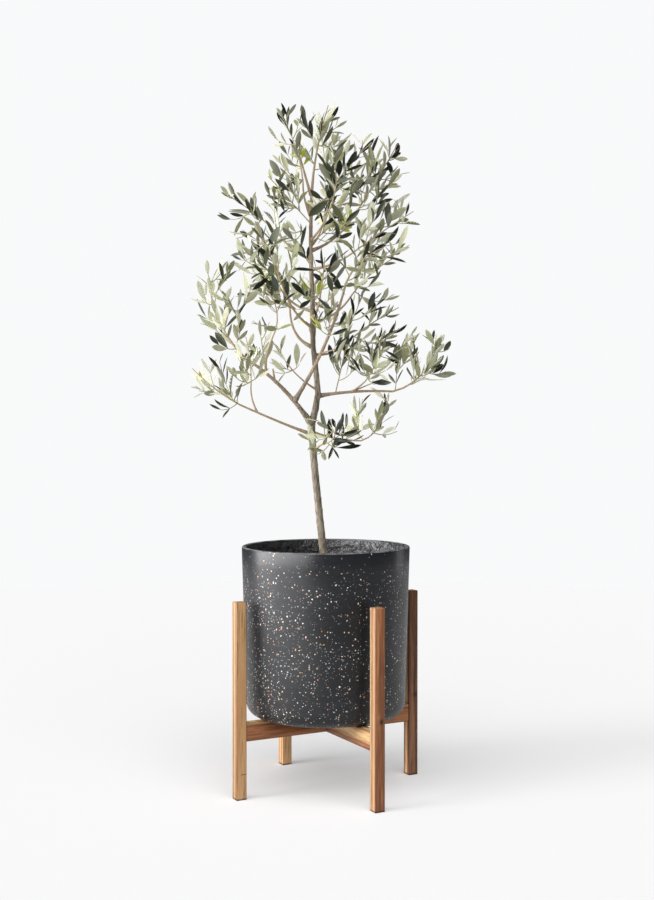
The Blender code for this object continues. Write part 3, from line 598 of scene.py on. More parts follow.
@dataclass
class Limb:
    """A limb's middle line with a radius at each of its points."""

    points: list[Vector]
    radii: list[float]
    frames: list[tuple[Vector, Vector]] = field(init=False)

    def __post_init__(self) -> None:
        """Works out two directions across the line at each point that don't twist along it."""
        across = (self.points[1] - self.points[0]).orthogonal().normalized()
        self.frames = []
        for index in range(len(self.points)):
            before = self.points[max(index - 1, 0)]
            after = self.points[min(index + 1, len(self.points) - 1)]
            ahead = (after - before).normalized()
            across = (across - ahead * across.dot(ahead)).normalized()
            self.frames.append((across, ahead.cross(across)))

    @property
    def length(self) -> float:
        """The line's length."""
        return sum((b - a).length for a, b in zip(self.points, self.points[1:]))

    @property
    def end_direction(self) -> Vector:
        """The direction in which the line ends."""
        return (self.points[-1] - self.points[-2]).normalized()

    def along(self, distance: float) -> tuple[Vector, Vector, tuple[Vector, Vector]]:
        """Gives the point, the direction and the frame at a distance along the line."""
        for a, b, ring in zip(self.points, self.points[1:], self.frames):
            run = (b - a).length
            if distance <= run:
                return a.lerp(b, distance / run), (b - a).normalized(), ring
            distance -= run
        return self.points[-1], self.end_direction, self.frames[-1]

    def at_height(self, height: float) -> Vector:
        """Gives the point where the line passes a height."""
        for low, high in zip(self.points, self.points[1:]):
            if low.z <= height <= high.z:
                return low.lerp(high, (height - low.z) / (high.z - low.z))
        raise ValueError("the limb doesn't reach this height")

    def clearance(self, point: Vector) -> float:
        """Gives the distance from a point to the limb's skin."""
        best = 1.0
        for a, b, r_a, r_b in zip(self.points, self.points[1:], self.radii, self.radii[1:]):
            run = b - a
            share = min(1.0, max(0.0, (point - a).dot(run) / run.length_squared))
            best = min(best, (point - a - run * share).length - r_a - (r_b - r_a) * share)
        return best


def smooth_through(stations: list[Vector], steps: int) -> list[Vector]:
    """Runs a smooth curve through stations.

    Args:
        stations: the points that the curve passes.
        steps: how many points lie in each span.

    Returns:
        The curve's points, ends included.
    """
    padded = [2.0 * stations[0] - stations[1], *stations, 2.0 * stations[-1] - stations[-2]]
    points = []
    for a, b, c, d in zip(padded, padded[1:], padded[2:], padded[3:]):
        for step in range(steps):
            t = step / steps
            linear = (c - a) * t
            square = (2.0 * a - 5.0 * b + 4.0 * c - d) * t * t
            cube = (3.0 * b - a - 3.0 * c + d) * t * t * t
            points.append(b + 0.5 * (linear + square + cube))
    return [*points, stations[-1]]


def bowed(start: Vector, end: Vector, bow: Vector, steps: int) -> list[Vector]:
    """Gives points of an arc whose middle stands off its chord by bow."""
    control = (start + end) / 2.0 + 2.0 * bow
    shares = [step / steps for step in range(steps + 1)]
    return [start * (1.0 - t) ** 2 + control * 2.0 * t * (1.0 - t) + end * t * t for t in shares]


def tapered(first: float, last: float, count: int) -> list[float]:
    """Gives radii that run evenly from the first to the last."""
    return [first + (last - first) * index / (count - 1) for index in range(count)]


def lean_from(direction: Vector, ring: tuple[Vector, Vector], turn: float, lean: float) -> Vector:
    """Leans a direction away from itself by an angle, towards a turn round itself."""
    side = ring[0] * math.cos(turn) + ring[1] * math.sin(turn)
    return (direction * math.cos(lean) + side * math.sin(lean)).normalized()


@dataclass(frozen=True)
class Station:
    """One station of the trunk."""

    height: float
    x: float
    y: float
    radius: float


@dataclass(frozen=True)
class Bough:
    """A bough: the height where it leaves its parent's middle line, its tip and its girth."""

    parent: str
    leaves: float
    tip: Place
    bow: Place
    foot_radius: float
    tip_radius: float


@dataclass(frozen=True)
class Mass:
    """A mass of leaves: its limb, its egg-shaped space, how its colours run and how full it is.

    Its stem goes on from the limb's tip, or leaves the limb's side at a height.
    """

    limb: str
    middle: Place
    reach: Place
    tone: Tone = Tone.MIXED
    fullness: float = 1.0
    leaves: float | None = None


@dataclass(frozen=True)
class Stub:
    """A cut or dead end of wood on a limb: the height where it leaves, its tip and its radius."""

    limb: str
    leaves: float
    tip: Place
    radius: float
    young_leaves: int = 0


TRUNK = (
    Station(0.4017, -0.0055, 0.0000, 0.0112),
    Station(0.4130, -0.0068, 0.0000, 0.0081),
    Station(0.4350, -0.0090, 0.0005, 0.0070),
    Station(0.5680, -0.0230, 0.0025, 0.0066),
    Station(0.6400, -0.0292, 0.0015, 0.0064),
    Station(0.6740, -0.0298, 0.0000, 0.0066),
    Station(0.7280, -0.0188, 0.0020, 0.0054),
    Station(0.8150, -0.0280, 0.0050, 0.0048),
    Station(0.9000, -0.0290, 0.0030, 0.0044),
    Station(0.9900, -0.0322, -0.0015, 0.0037),
    Station(1.0850, -0.0308, 0.0010, 0.0029),
    Station(1.1350, -0.0270, 0.0020, 0.0021),
)

BOUGHS = {
    "bough_left_fork": Bough("trunk", 0.670, (-0.150, -0.030, 0.790), (0.004, -0.006, 0.009), 0.0046, 0.0022),
    "bough_crossing": Bough("bough_left_fork", 0.713, (0.032, -0.044, 0.926), (0.010, -0.006, -0.002), 0.0036, 0.0020),
    "bough_left_low": Bough("trunk", 0.652, (-0.160, -0.052, 0.706), (0.006, 0.004, -0.004), 0.0027, 0.0016),
    "bough_left_rising": Bough("bough_left_low", 0.692, (-0.140, -0.040, 0.744), (-0.004, 0.000, 0.000), 0.0015, 0.0012),
    "bough_left_thin": Bough("bough_left_fork", 0.764, (-0.094, -0.056, 0.842), (-0.006, -0.004, -0.004), 0.0018, 0.0013),
    "bough_right_long": Bough("trunk", 0.723, (0.120, 0.024, 0.732), (0.000, 0.003, 0.004), 0.0030, 0.0019),
    "bough_right_middle": Bough("bough_right_long", 0.731, (0.070, 0.006, 0.752), (0.002, -0.003, 0.000), 0.0015, 0.0012),
    "bough_right_low": Bough("trunk", 0.656, (0.062, 0.044, 0.640), (0.004, 0.004, -0.004), 0.0020, 0.0014),
    "bough_front_short": Bough("trunk", 0.620, (-0.004, -0.024, 0.636), (0.001, -0.002, 0.004), 0.0019, 0.0014),
    "bough_left_small": Bough("trunk", 0.734, (-0.062, -0.016, 0.766), (0.000, -0.002, -0.003), 0.0016, 0.0012),
    "bough_left_upper": Bough("trunk", 0.813, (-0.071, 0.020, 0.884), (-0.010, 0.002, -0.010), 0.0028, 0.0017),
    "bough_right_thin": Bough("trunk", 0.800, (0.030, 0.040, 0.820), (0.004, 0.004, -0.006), 0.0020, 0.0014),
    "bough_right_shoulder": Bough("trunk", 0.956, (0.050, -0.018, 0.988), (0.002, -0.004, -0.006), 0.0022, 0.0014),
    "bough_upper_right": Bough("trunk", 0.990, (0.048, 0.036, 1.060), (0.004, 0.004, -0.008), 0.0026, 0.0015),
    "bough_upper_left": Bough("trunk", 0.976, (-0.088, -0.004, 1.016), (0.000, -0.004, -0.008), 0.0022, 0.0014),
    "bough_top_left": Bough("trunk", 1.052, (-0.046, -0.016, 1.112), (-0.004, -0.004, 0.000), 0.0020, 0.0014),
    "bough_top_right": Bough("trunk", 1.070, (0.010, -0.006, 1.106), (0.004, -0.002, -0.004), 0.0018, 0.0013),
    "bough_back_low": Bough("trunk", 0.832, (-0.026, 0.082, 0.882), (0.002, 0.004, -0.012), 0.0026, 0.0016),
    "bough_back_right": Bough("trunk", 0.860, (0.046, 0.072, 0.918), (0.004, 0.004, -0.010), 0.0024, 0.0015),
    "bough_back_left": Bough("trunk", 0.880, (-0.096, 0.066, 0.938), (-0.004, 0.004, -0.010), 0.0024, 0.0015),
    "bough_back_high": Bough("trunk", 1.000, (-0.010, 0.054, 1.046), (0.000, 0.006, -0.006), 0.0021, 0.0014),
    "bough_front_left": Bough("trunk", 0.850, (-0.082, -0.072, 0.918), (-0.004, -0.004, -0.010), 0.0024, 0.0015),
    "bough_front_low": Bough("trunk", 0.870, (-0.014, -0.088, 0.900), (0.000, -0.004, -0.012), 0.0024, 0.0015),
    "bough_front_high": Bough("trunk", 1.010, (0.000, -0.052, 1.050), (0.000, -0.004, -0.006), 0.0021, 0.0014),
}

STUBS = {
    "stub_leader": Stub("trunk", 1.088, (-0.0530, -0.006, 1.164), 0.0022, 7),
    "stub_left_fork": Stub("bough_left_fork", 0.750, (-0.1010, -0.027, 0.772), 0.0013),
    "stub_crossing": Stub("bough_crossing", 0.800, (0.0120, -0.046, 0.806), 0.0012),
    "stub_right_long": Stub("bough_right_long", 0.731, (0.0840, 0.010, 0.748), 0.0011),
}

MASSES = {
    "leaves_top": Mass("trunk", (-0.012, 0.006, 1.204), (0.058, 0.060, 0.074), Tone.MIXED, 0.85),
    "leaves_top_left": Mass("bough_top_left", (-0.068, -0.022, 1.176), (0.050, 0.060, 0.088), Tone.SAGE, 0.55),
    "leaves_top_right": Mass("bough_top_right", (0.044, -0.026, 1.142), (0.054, 0.060, 0.080), Tone.MIXED, 1.1),
    "leaves_upper_right": Mass("bough_upper_right", (0.094, 0.040, 1.136), (0.066, 0.066, 0.090), Tone.DARK, 0.85),
    "leaves_right_shoulder": Mass("bough_right_shoulder", (0.106, -0.034, 1.024), (0.064, 0.070, 0.080), Tone.DARK, 0.7),
    "leaves_upper_left": Mass("bough_upper_left", (-0.140, -0.014, 1.054), (0.080, 0.072, 0.080), Tone.SAGE, 0.5),
    "leaves_left_upper": Mass("bough_left_upper", (-0.096, 0.026, 0.944), (0.060, 0.062, 0.072), Tone.SAGE, 0.7),
    "leaves_left": Mass("bough_left_fork", (-0.190, -0.034, 0.886), (0.072, 0.078, 0.094), Tone.SAGE, 0.75),
    "leaves_left_thin": Mass("bough_left_thin", (-0.104, -0.080, 0.878), (0.058, 0.056, 0.064), Tone.SAGE, 0.3),
    "leaves_left_rising": Mass("bough_left_rising", (-0.144, -0.040, 0.780), (0.048, 0.054, 0.058), Tone.PALE, 0.7),
    "leaves_far_left": Mass("bough_left_low", (-0.204, -0.064, 0.740), (0.056, 0.068, 0.064), Tone.PALE, 0.55),
    "leaves_left_small": Mass("bough_left_small", (-0.080, -0.022, 0.792), (0.046, 0.048, 0.052), Tone.PALE, 0.15),
    "leaves_crossing": Mass("bough_crossing", (0.058, -0.070, 0.948), (0.070, 0.072, 0.080), Tone.MIXED, 0.42),
    "leaves_right_thin": Mass("bough_right_thin", (0.082, 0.048, 0.856), (0.074, 0.066, 0.072), Tone.MIXED, 0.7),
    "leaves_right_long": Mass("bough_right_long", (0.175, 0.026, 0.792), (0.071, 0.072, 0.064), Tone.MIXED, 0.95),
    "leaves_right_middle": Mass("bough_right_middle", (0.082, -0.010, 0.784), (0.058, 0.058, 0.052), Tone.MIXED, 1.0),
    "leaves_right_low": Mass("bough_right_low", (0.088, 0.056, 0.682), (0.066, 0.060, 0.062), Tone.PALE, 0.65),
    "leaves_front_short": Mass("bough_front_short", (0.002, -0.048, 0.650), (0.066, 0.056, 0.052), Tone.DARK, 0.75),
    "leaves_back_low": Mass("bough_back_low", (-0.030, 0.142, 0.912), (0.076, 0.074, 0.078), Tone.MIXED, 0.45),
    "leaves_back_right": Mass("bough_back_right", (0.094, 0.124, 0.964), (0.070, 0.076, 0.080), Tone.MIXED, 0.25),
    "leaves_back_left": Mass("bough_back_left", (-0.140, 0.114, 0.980), (0.068, 0.074, 0.080), Tone.MIXED, 0.45),
    "leaves_back_high": Mass("bough_back_high", (-0.002, 0.100, 1.088), (0.072, 0.070, 0.082), Tone.DARK, 0.5),
    "leaves_front_left": Mass("bough_front_left", (-0.104, -0.128, 0.966), (0.066, 0.072, 0.078), Tone.SAGE, 0.5),
    "leaves_front_low": Mass("bough_front_low", (-0.010, -0.144, 0.926), (0.066, 0.070, 0.076), Tone.MIXED, 0.3),
    "leaves_front_high": Mass("bough_front_high", (0.006, -0.100, 1.076), (0.070, 0.070, 0.080), Tone.MIXED, 0.4),
}


SHOOTS = {
    "shoot_left_high": Mass("trunk", (-0.080, -0.010, 1.092), (0.044, 0.050, 0.062), Tone.SAGE, 0.8, 1.040),
    "shoot_left_middle": Mass("trunk", (-0.066, -0.012, 1.010), (0.036, 0.040, 0.050), Tone.MIXED, 0.7, 0.962),
    "shoot_right_high": Mass("trunk", (0.014, -0.016, 1.040), (0.040, 0.040, 0.048), Tone.MIXED, 0.7, 1.004),
    "shoot_cross_low": Mass("bough_crossing", (0.004, -0.052, 0.866), (0.040, 0.038, 0.048), Tone.MIXED, 0.9, 0.828),
    "shoot_right_inner": Mass("bough_right_long", (0.030, 0.000, 0.800), (0.036, 0.044, 0.054), Tone.SAGE, 1.2, 0.728),
    "shoot_left_inner": Mass("bough_left_fork", (-0.122, -0.028, 0.826), (0.034, 0.040, 0.056), Tone.SAGE, 0.15, 0.764),
}


@dataclass
class NodeJob:
    """A Geometry Nodes tree with named inputs, run once on a carrier mesh and made a plain mesh."""

    name: str
    tree: Tree = field(init=False)
    entry: bpy.types.Node = field(init=False)

    def __post_init__(self) -> None:
        """Makes the tree with its geometry input."""
        group = bpy.data.node_groups.new(self.name, "GeometryNodeTree")
        group.interface.new_socket("Geometry", in_out="INPUT", socket_type="NodeSocketGeometry")
        group.interface.new_socket("Geometry", in_out="OUTPUT", socket_type="NodeSocketGeometry")
        self.tree = Tree(group)
        self.entry = self.tree.add("NodeGroupInput")

    def option(self, name: str, kind: str) -> bpy.types.NodeSocket:
        """Adds a named input of a socket type and gives its socket inside the tree."""
        self.tree.nodes.interface.new_socket(name, in_out="INPUT", socket_type=kind)
        return self.entry.outputs[name]

    def named(self, name: str, kind: str = "FLOAT") -> bpy.types.NodeSocket:
        """Reads a named attribute."""
        node = self.tree.add("GeometryNodeInputNamedAttribute", {"data_type": kind}, {"Name": name})
        return node.outputs["Attribute"]

    def close(self, geometry: bpy.types.NodeSocket, material: bpy.types.NodeSocket) -> bpy.types.Node:
        """Ends the tree in Realize Instances and Set Material, and returns the last node."""
        real = self.tree.add("GeometryNodeRealizeInstances", {}, {"Geometry": geometry})
        inputs = {"Geometry": real.outputs[0], "Material": material}
        painted = self.tree.add("GeometryNodeSetMaterial", {}, inputs)
        self.tree.add("NodeGroupOutput", {}, {0: painted.outputs[0]})
        return painted

    def run(self, carrier: bpy.types.Mesh, name: str, **options: object) -> bpy.types.Object:
        """Runs the tree.

        Args:
            carrier: the mesh that it starts from.
            name: the finished object's name.
            options: values of the named inputs, with underscores for spaces.

        Returns:
            An object at the origin with the resulting plain mesh.
        """
        holder = bpy.data.objects.new(name + "_carrier", carrier)
        bpy.context.scene.collection.objects.link(holder)
        modifier = holder.modifiers.new(self.name, "NODES")
        modifier.node_group = self.tree.nodes
        sockets = {item.name: item.identifier for item in self.tree.nodes.interface.items_tree}
        for option, value in options.items():
            modifier[sockets[option.replace("_", " ")]] = value
        graph = bpy.context.evaluated_depsgraph_get()
        mesh = bpy.data.meshes.new_from_object(holder.evaluated_get(graph))
        holder.modifiers.clear()
        bpy.data.objects.remove(holder, do_unlink=True)
        mesh.name = name
        return add_object(name, mesh)


def add_object(name: str, mesh: bpy.types.Mesh) -> bpy.types.Object:
    """Adds a mesh to the scene as an object at the origin."""
    piece = bpy.data.objects.new(name, mesh)
    bpy.context.scene.collection.objects.link(piece)
    return piece


def from_bmesh(name: str, bm: bmesh.types.BMesh, *materials: bpy.types.Material) -> bpy.types.Object:
    """Makes an object from a bmesh with its materials in order, and frees the bmesh."""
    mesh = bpy.data.meshes.new(name)
    bm.to_mesh(mesh)
    bm.free()
    for material in materials:
        mesh.materials.append(material)
    return add_object(name, mesh)


def join_pieces(name: str, pieces: list[bpy.types.Object]) -> bpy.types.Object:
    """Joins objects at the origin into one, each keeping its materials."""
    with bpy.context.temp_override(active_object=pieces[0], selected_editable_objects=pieces):
        bpy.ops.object.join()
    pieces[0].name = name
    pieces[0].data.name = name
    return pieces[0]


def dress(piece: bpy.types.Object, slot: str, *nodes: str) -> bpy.types.Object:
    """Puts a finished piece on the frame: its body and the nodes it stands for."""
    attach(piece, BODY)
    if nodes:
        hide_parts(*nodes)
    LOG.info("%s: %d faces", piece.name, len(piece.data.polygons))
    return piece


@dataclass
class Skeleton:
    """The trunk and its boughs, and the bark over them."""

    trunk_steps: int = 2
    bough_steps: int = 24
    line_steps: int = 40
    collar: float = 0.55
    collar_length: float = 0.011
    knuckle: float = 0.09
    knuckle_pitch: float = 0.021
    ring_length: float = 0.0022
    sides: int = 18
    relief: float = 0.00042
    stub_taper: float = 0.86
    limbs: dict[str, Limb] = field(default_factory=dict)

    def grow(self) -> None:
        """Works out the middle lines of the trunk and of every bough."""
        stations = [Vector((s.x, s.y, s.height)) for s in TRUNK]
        girths = [Vector((s.radius, 0.0, 0.0)) for s in TRUNK]
        radii = [girth.x for girth in smooth_through(girths, self.trunk_steps)]
        self.limbs["trunk"] = Limb(smooth_through(stations, self.trunk_steps), radii)
        for name, bough in BOUGHS.items():
            self.limbs[name] = self.bough_line(bough)
        for name, stub in STUBS.items():
            self.limbs[name] = self.stub_line(stub)

    def bough_line(self, bough: Bough) -> Limb:
        """Gives a bough's middle line, from its parent's skin to its tip."""
        parent = self.limbs[bough.parent]
        start = parent.at_height(bough.leaves)
        line = bowed(start, Vector(bough.tip), Vector(bough.bow), self.line_steps)
        outside = [point for point in line if parent.clearance(point) >= 0.0]
        last = len(outside) - 1
        picks = [round(index * last / self.bough_steps) for index in range(self.bough_steps + 1)]
        points = [outside[pick] for pick in sorted(set(picks))]
        return Limb(points, tapered(bough.foot_radius, bough.tip_radius, len(points)))

    def stub_line(self, stub: Stub) -> Limb:
        """Gives a stub's middle line, from its limb's skin to its blunt end."""
        parent = self.limbs[stub.limb]
        start = parent.at_height(stub.leaves)
        line = bowed(start, Vector(stub.tip), Vector((0.0, 0.0, 0.0)), self.line_steps)
        points = [point for point in line if parent.clearance(point) >= 0.0]
        return Limb(points, tapered(stub.radius, stub.radius * self.stub_taper, len(points)))

    def cover(self, bark: bpy.types.Material) -> None:
        """Makes the bark over the trunk and over the boughs and stubs, each as one piece."""
        job = self.bark_job()
        lines = {"bark_trunk": ["trunk"], "bark_boughs": [*BOUGHS, *STUBS]}
        for name, members in lines.items():
            carrier = polyline_mesh(name, [self.dressed_line(member) for member in members])
            piece = job.run(carrier, name, Ring_length=self.ring_length, Sides=self.sides,
                            Relief=self.relief, Bark=bark)
            piece.data.shade_smooth()
            dress(piece, "bark", *[member for member in members if member not in STUBS])

    def dressed_line(self, name: str) -> tuple[list[Vector], list[float]]:
        """Gives a limb's points and radii with its collar and knuckles, its foot set in its parent."""
        limb = self.limbs[name]
        if name == "trunk":
            count = round(limb.length / (2.0 * self.ring_length))
        else:
            count = max(10, round(limb.length / (1.5 * self.ring_length)))
        phase = random.Random(f"{SEED} {name} knuckles").uniform(0.0, 1.0)
        points, radii = [], []
        for index in range(count + 1):
            distance = limb.length * index / count
            point, _, _ = limb.along(distance)
            radius = self.radius_at(limb, distance)
            wave = math.sin(math.pi * (distance / self.knuckle_pitch + phase)) ** 2
            radius *= 1.0 + self.knuckle * wave ** 12
            if name != "trunk":
                radius *= 1.0 + self.collar * math.exp(-distance / self.collar_length)
            points.append(point)
            radii.append(radius)
        if name != "trunk":
            back = (points[1] - points[0]).normalized() * radii[0]
            points.insert(0, points[0] - back)
            radii.insert(0, radii[0])
        return points, radii

    def radius_at(self, limb: Limb, distance: float) -> float:
        """Gives a limb's radius at a distance along it."""
        for a, b, r_a, r_b in zip(limb.points, limb.points[1:], limb.radii, limb.radii[1:]):
            run = (b - a).length
            if distance <= run:
                return r_a + (r_b - r_a) * distance / run
            distance -= run
        return limb.radii[-1]

    def bark_job(self) -> NodeJob:
        """Makes the tree that skins lines with a tube and raises the bark's relief on it."""
        job = NodeJob("bark")
        ring = job.option("Ring length", "NodeSocketFloat")
        sides = job.option("Sides", "NodeSocketInt")
        relief = job.option("Relief", "NodeSocketFloat")
        bark = job.option("Bark", "NodeSocketMaterial")
        tree = job.tree
        curve = tree.add("GeometryNodeMeshToCurve", {}, {"Mesh": job.entry.outputs[0]})
        even = tree.add("GeometryNodeResampleCurve", {"mode": "LENGTH"}, {"Curve": curve.outputs[0], "Length": ring})
        profile = tree.add("GeometryNodeCurvePrimitiveCircle", {}, {"Resolution": sides, "Radius": 1.0})
        skin = tree.add("GeometryNodeCurveToMesh", {}, {
            "Curve": even.outputs[0], "Profile Curve": profile.outputs[0],
            "Scale": job.named("girth"), "Fill Caps": True})
        place = tree.add("GeometryNodeInputPosition").outputs[0]
        grain = tree.add("ShaderNodeVectorMath", {"operation": "MULTIPLY"}, {0: place, 1: (1.0, 1.0, 0.3)})
        coarse = tree.add("ShaderNodeTexNoise", {}, {"Vector": grain.outputs[0], "Scale": 210.0, "Detail": 3.0})
        fine = tree.add("ShaderNodeTexNoise", {}, {"Vector": grain.outputs[0], "Scale": 640.0, "Detail": 3.0})
        height = (tree.out(coarse) - 0.5) * 1.5 + (tree.out(fine) - 0.5)
        girth = Sock(tree, job.named("girth"))
        rise = height * Sock(tree, relief) * (girth / 0.005).math("MINIMUM", 1.3)
        normal = tree.add("GeometryNodeInputNormal").outputs[0]
        offset = tree.add("ShaderNodeVectorMath", {"operation": "SCALE"}, {0: normal})
        tree.feed(offset.inputs["Scale"], rise)
        raised = tree.add("GeometryNodeSetPosition", {}, {"Geometry": skin.outputs[0], "Offset": offset.outputs[0]})
        job.close(raised.outputs[0], bark)
        return job


def polyline_mesh(name: str, lines: list[tuple[list[Vector], list[float]]]) -> bpy.types.Mesh:
    """Makes a mesh of bare edges with one line for each list of points, and a girth on each point."""
    places, edges, girths = [], [], []
    for points, radii in lines:
        first = len(places)
        places += [tuple(point) for point in points]
        girths += radii
        edges += [(first + index, first + index + 1) for index in range(len(points) - 1)]
    mesh = bpy.data.meshes.new(name)
    mesh.from_pydata(places, edges, [])
    mesh.attributes.new("girth", "FLOAT", "POINT").data.foreach_set("value", girths)
    return mesh


@dataclass
class Leaf:
    """One leaf: its root, its directions, its length, its form and its tint."""

    root: Vector
    ahead: Vector
    across: Vector
    length: float
    form: int
    tint: Tint

    def spine(self, shares: tuple[float, ...]) -> np.ndarray:
        """Gives points along the middle of the blade."""
        return np.array([self.root + self.ahead * self.length * share for share in shares])

    @property
    def turn(self) -> Vector:
        """The leaf's rotation as Euler angles."""
        up = self.across.cross(self.ahead).normalized()
        return Vector(Matrix((self.across, self.ahead, up)).transposed().to_euler("XYZ"))


@dataclass
class LeafForms:
    """The outlines of an olive leaf: lance-shaped blades of unit length with a short stalk."""

    widths: tuple[float, ...] = (0.205, 0.245, 0.275, 0.225, 0.31, 0.215)
    folds: tuple[float, ...] = (14.0, 22.0, 9.0, 30.0, 16.0, 40.0)
    curls: tuple[float, ...] = (0.035, -0.020, 0.060, 0.012, -0.045, 0.080)
    twists: tuple[float, ...] = (8.0, -14.0, 20.0, -6.0, 12.0, -24.0)
    stations: int = 6
    stalk: float = 0.085
    stalk_width: float = 0.030
    thickness: float = 0.011

    def make(self) -> bpy.types.Collection:
        """Makes one object for each form, in a collection that the scene doesn't show."""
        forms = bpy.data.collections.new("leaf_forms")
        for index, shape in enumerate(zip(self.widths, self.folds, self.curls, self.twists)):
            mesh = self.blade(f"leaf_form_{index}", *shape)
            forms.objects.link(bpy.data.objects.new(mesh.name, mesh))
        return forms

    def half_width(self, share: float, width: float) -> float:
        """Gives half the blade's width at a share of its length."""
        blade = max(0.0, (share - self.stalk) / (1.0 - self.stalk))
        outline = max(0.0, math.sin(math.pi * blade ** 1.08)) ** 0.70
        stalk = self.stalk_width / 2.0 * max(0.0, 1.0 - share) ** 0.5
        return max(width / 2.0 * outline, stalk, 0.0012)

    def blade(self, name: str, width: float, fold: float, curl: float, twist: float) -> bpy.types.Mesh:
        """Makes a blade as a thin closed skin.

        Args:
            name: the mesh's name.
            width: its width as a share of its length.
            fold: how far each half stands up from flat, in degrees.
            curl: how far the tip bends down, as a share of its length.
            twist: how far the tip turns, in degrees.

        Returns:
            The mesh, with its underside marked.
        """
        bm = bmesh.new()
        under = bm.faces.layers.int.new("underside")
        shares = [0.0, self.stalk * 0.8]
        shares += [self.stalk + (1.0 - self.stalk) * (index / self.stations) ** 0.92
                   for index in range(1, self.stations + 1)]
        tops, bottoms = [], []
        for share in shares:
            half = self.half_width(share, width)
            turn = math.radians(twist) * share
            rise = -curl * share * share
            top, bottom = [], []
            for place in (-1.0, 0.0, 1.0):
                lift = abs(place) * half * math.tan(math.radians(fold))
                x = place * half * math.cos(turn) - lift * math.sin(turn)
                z = place * half * math.sin(turn) + lift * math.cos(turn) + rise
                thick = self.thickness * (0.5 if abs(place) < 1.0 else 0.0)
                top.append(bm.verts.new((x, share, z + thick)))
                bottom.append(top[-1] if thick == 0.0 else bm.verts.new((x, share, z - thick)))
            tops.append(top)
            bottoms.append(bottom)
        for rows, is_under in ((tops, False), (bottoms, True)):
            for row, after in zip(rows, rows[1:]):
                for index in range(2):
                    corners = [row[index], row[index + 1], after[index + 1], after[index]]
                    face = bm.faces.new(corners[::-1] if is_under else corners)
                    face[under] = int(is_under)
        for end, flip in ((0, False), (-1, True)):
            loop = [*tops[end], *bottoms[end][-2:0:-1]]
            bm.faces.new(loop[::-1] if not flip else loop)
        mesh = bpy.data.meshes.new(name)
        bm.to_mesh(mesh)
        bm.free()
        mesh.shade_smooth()
        mesh.set_sharp_from_angle(angle=math.radians(88.0))
        return mesh


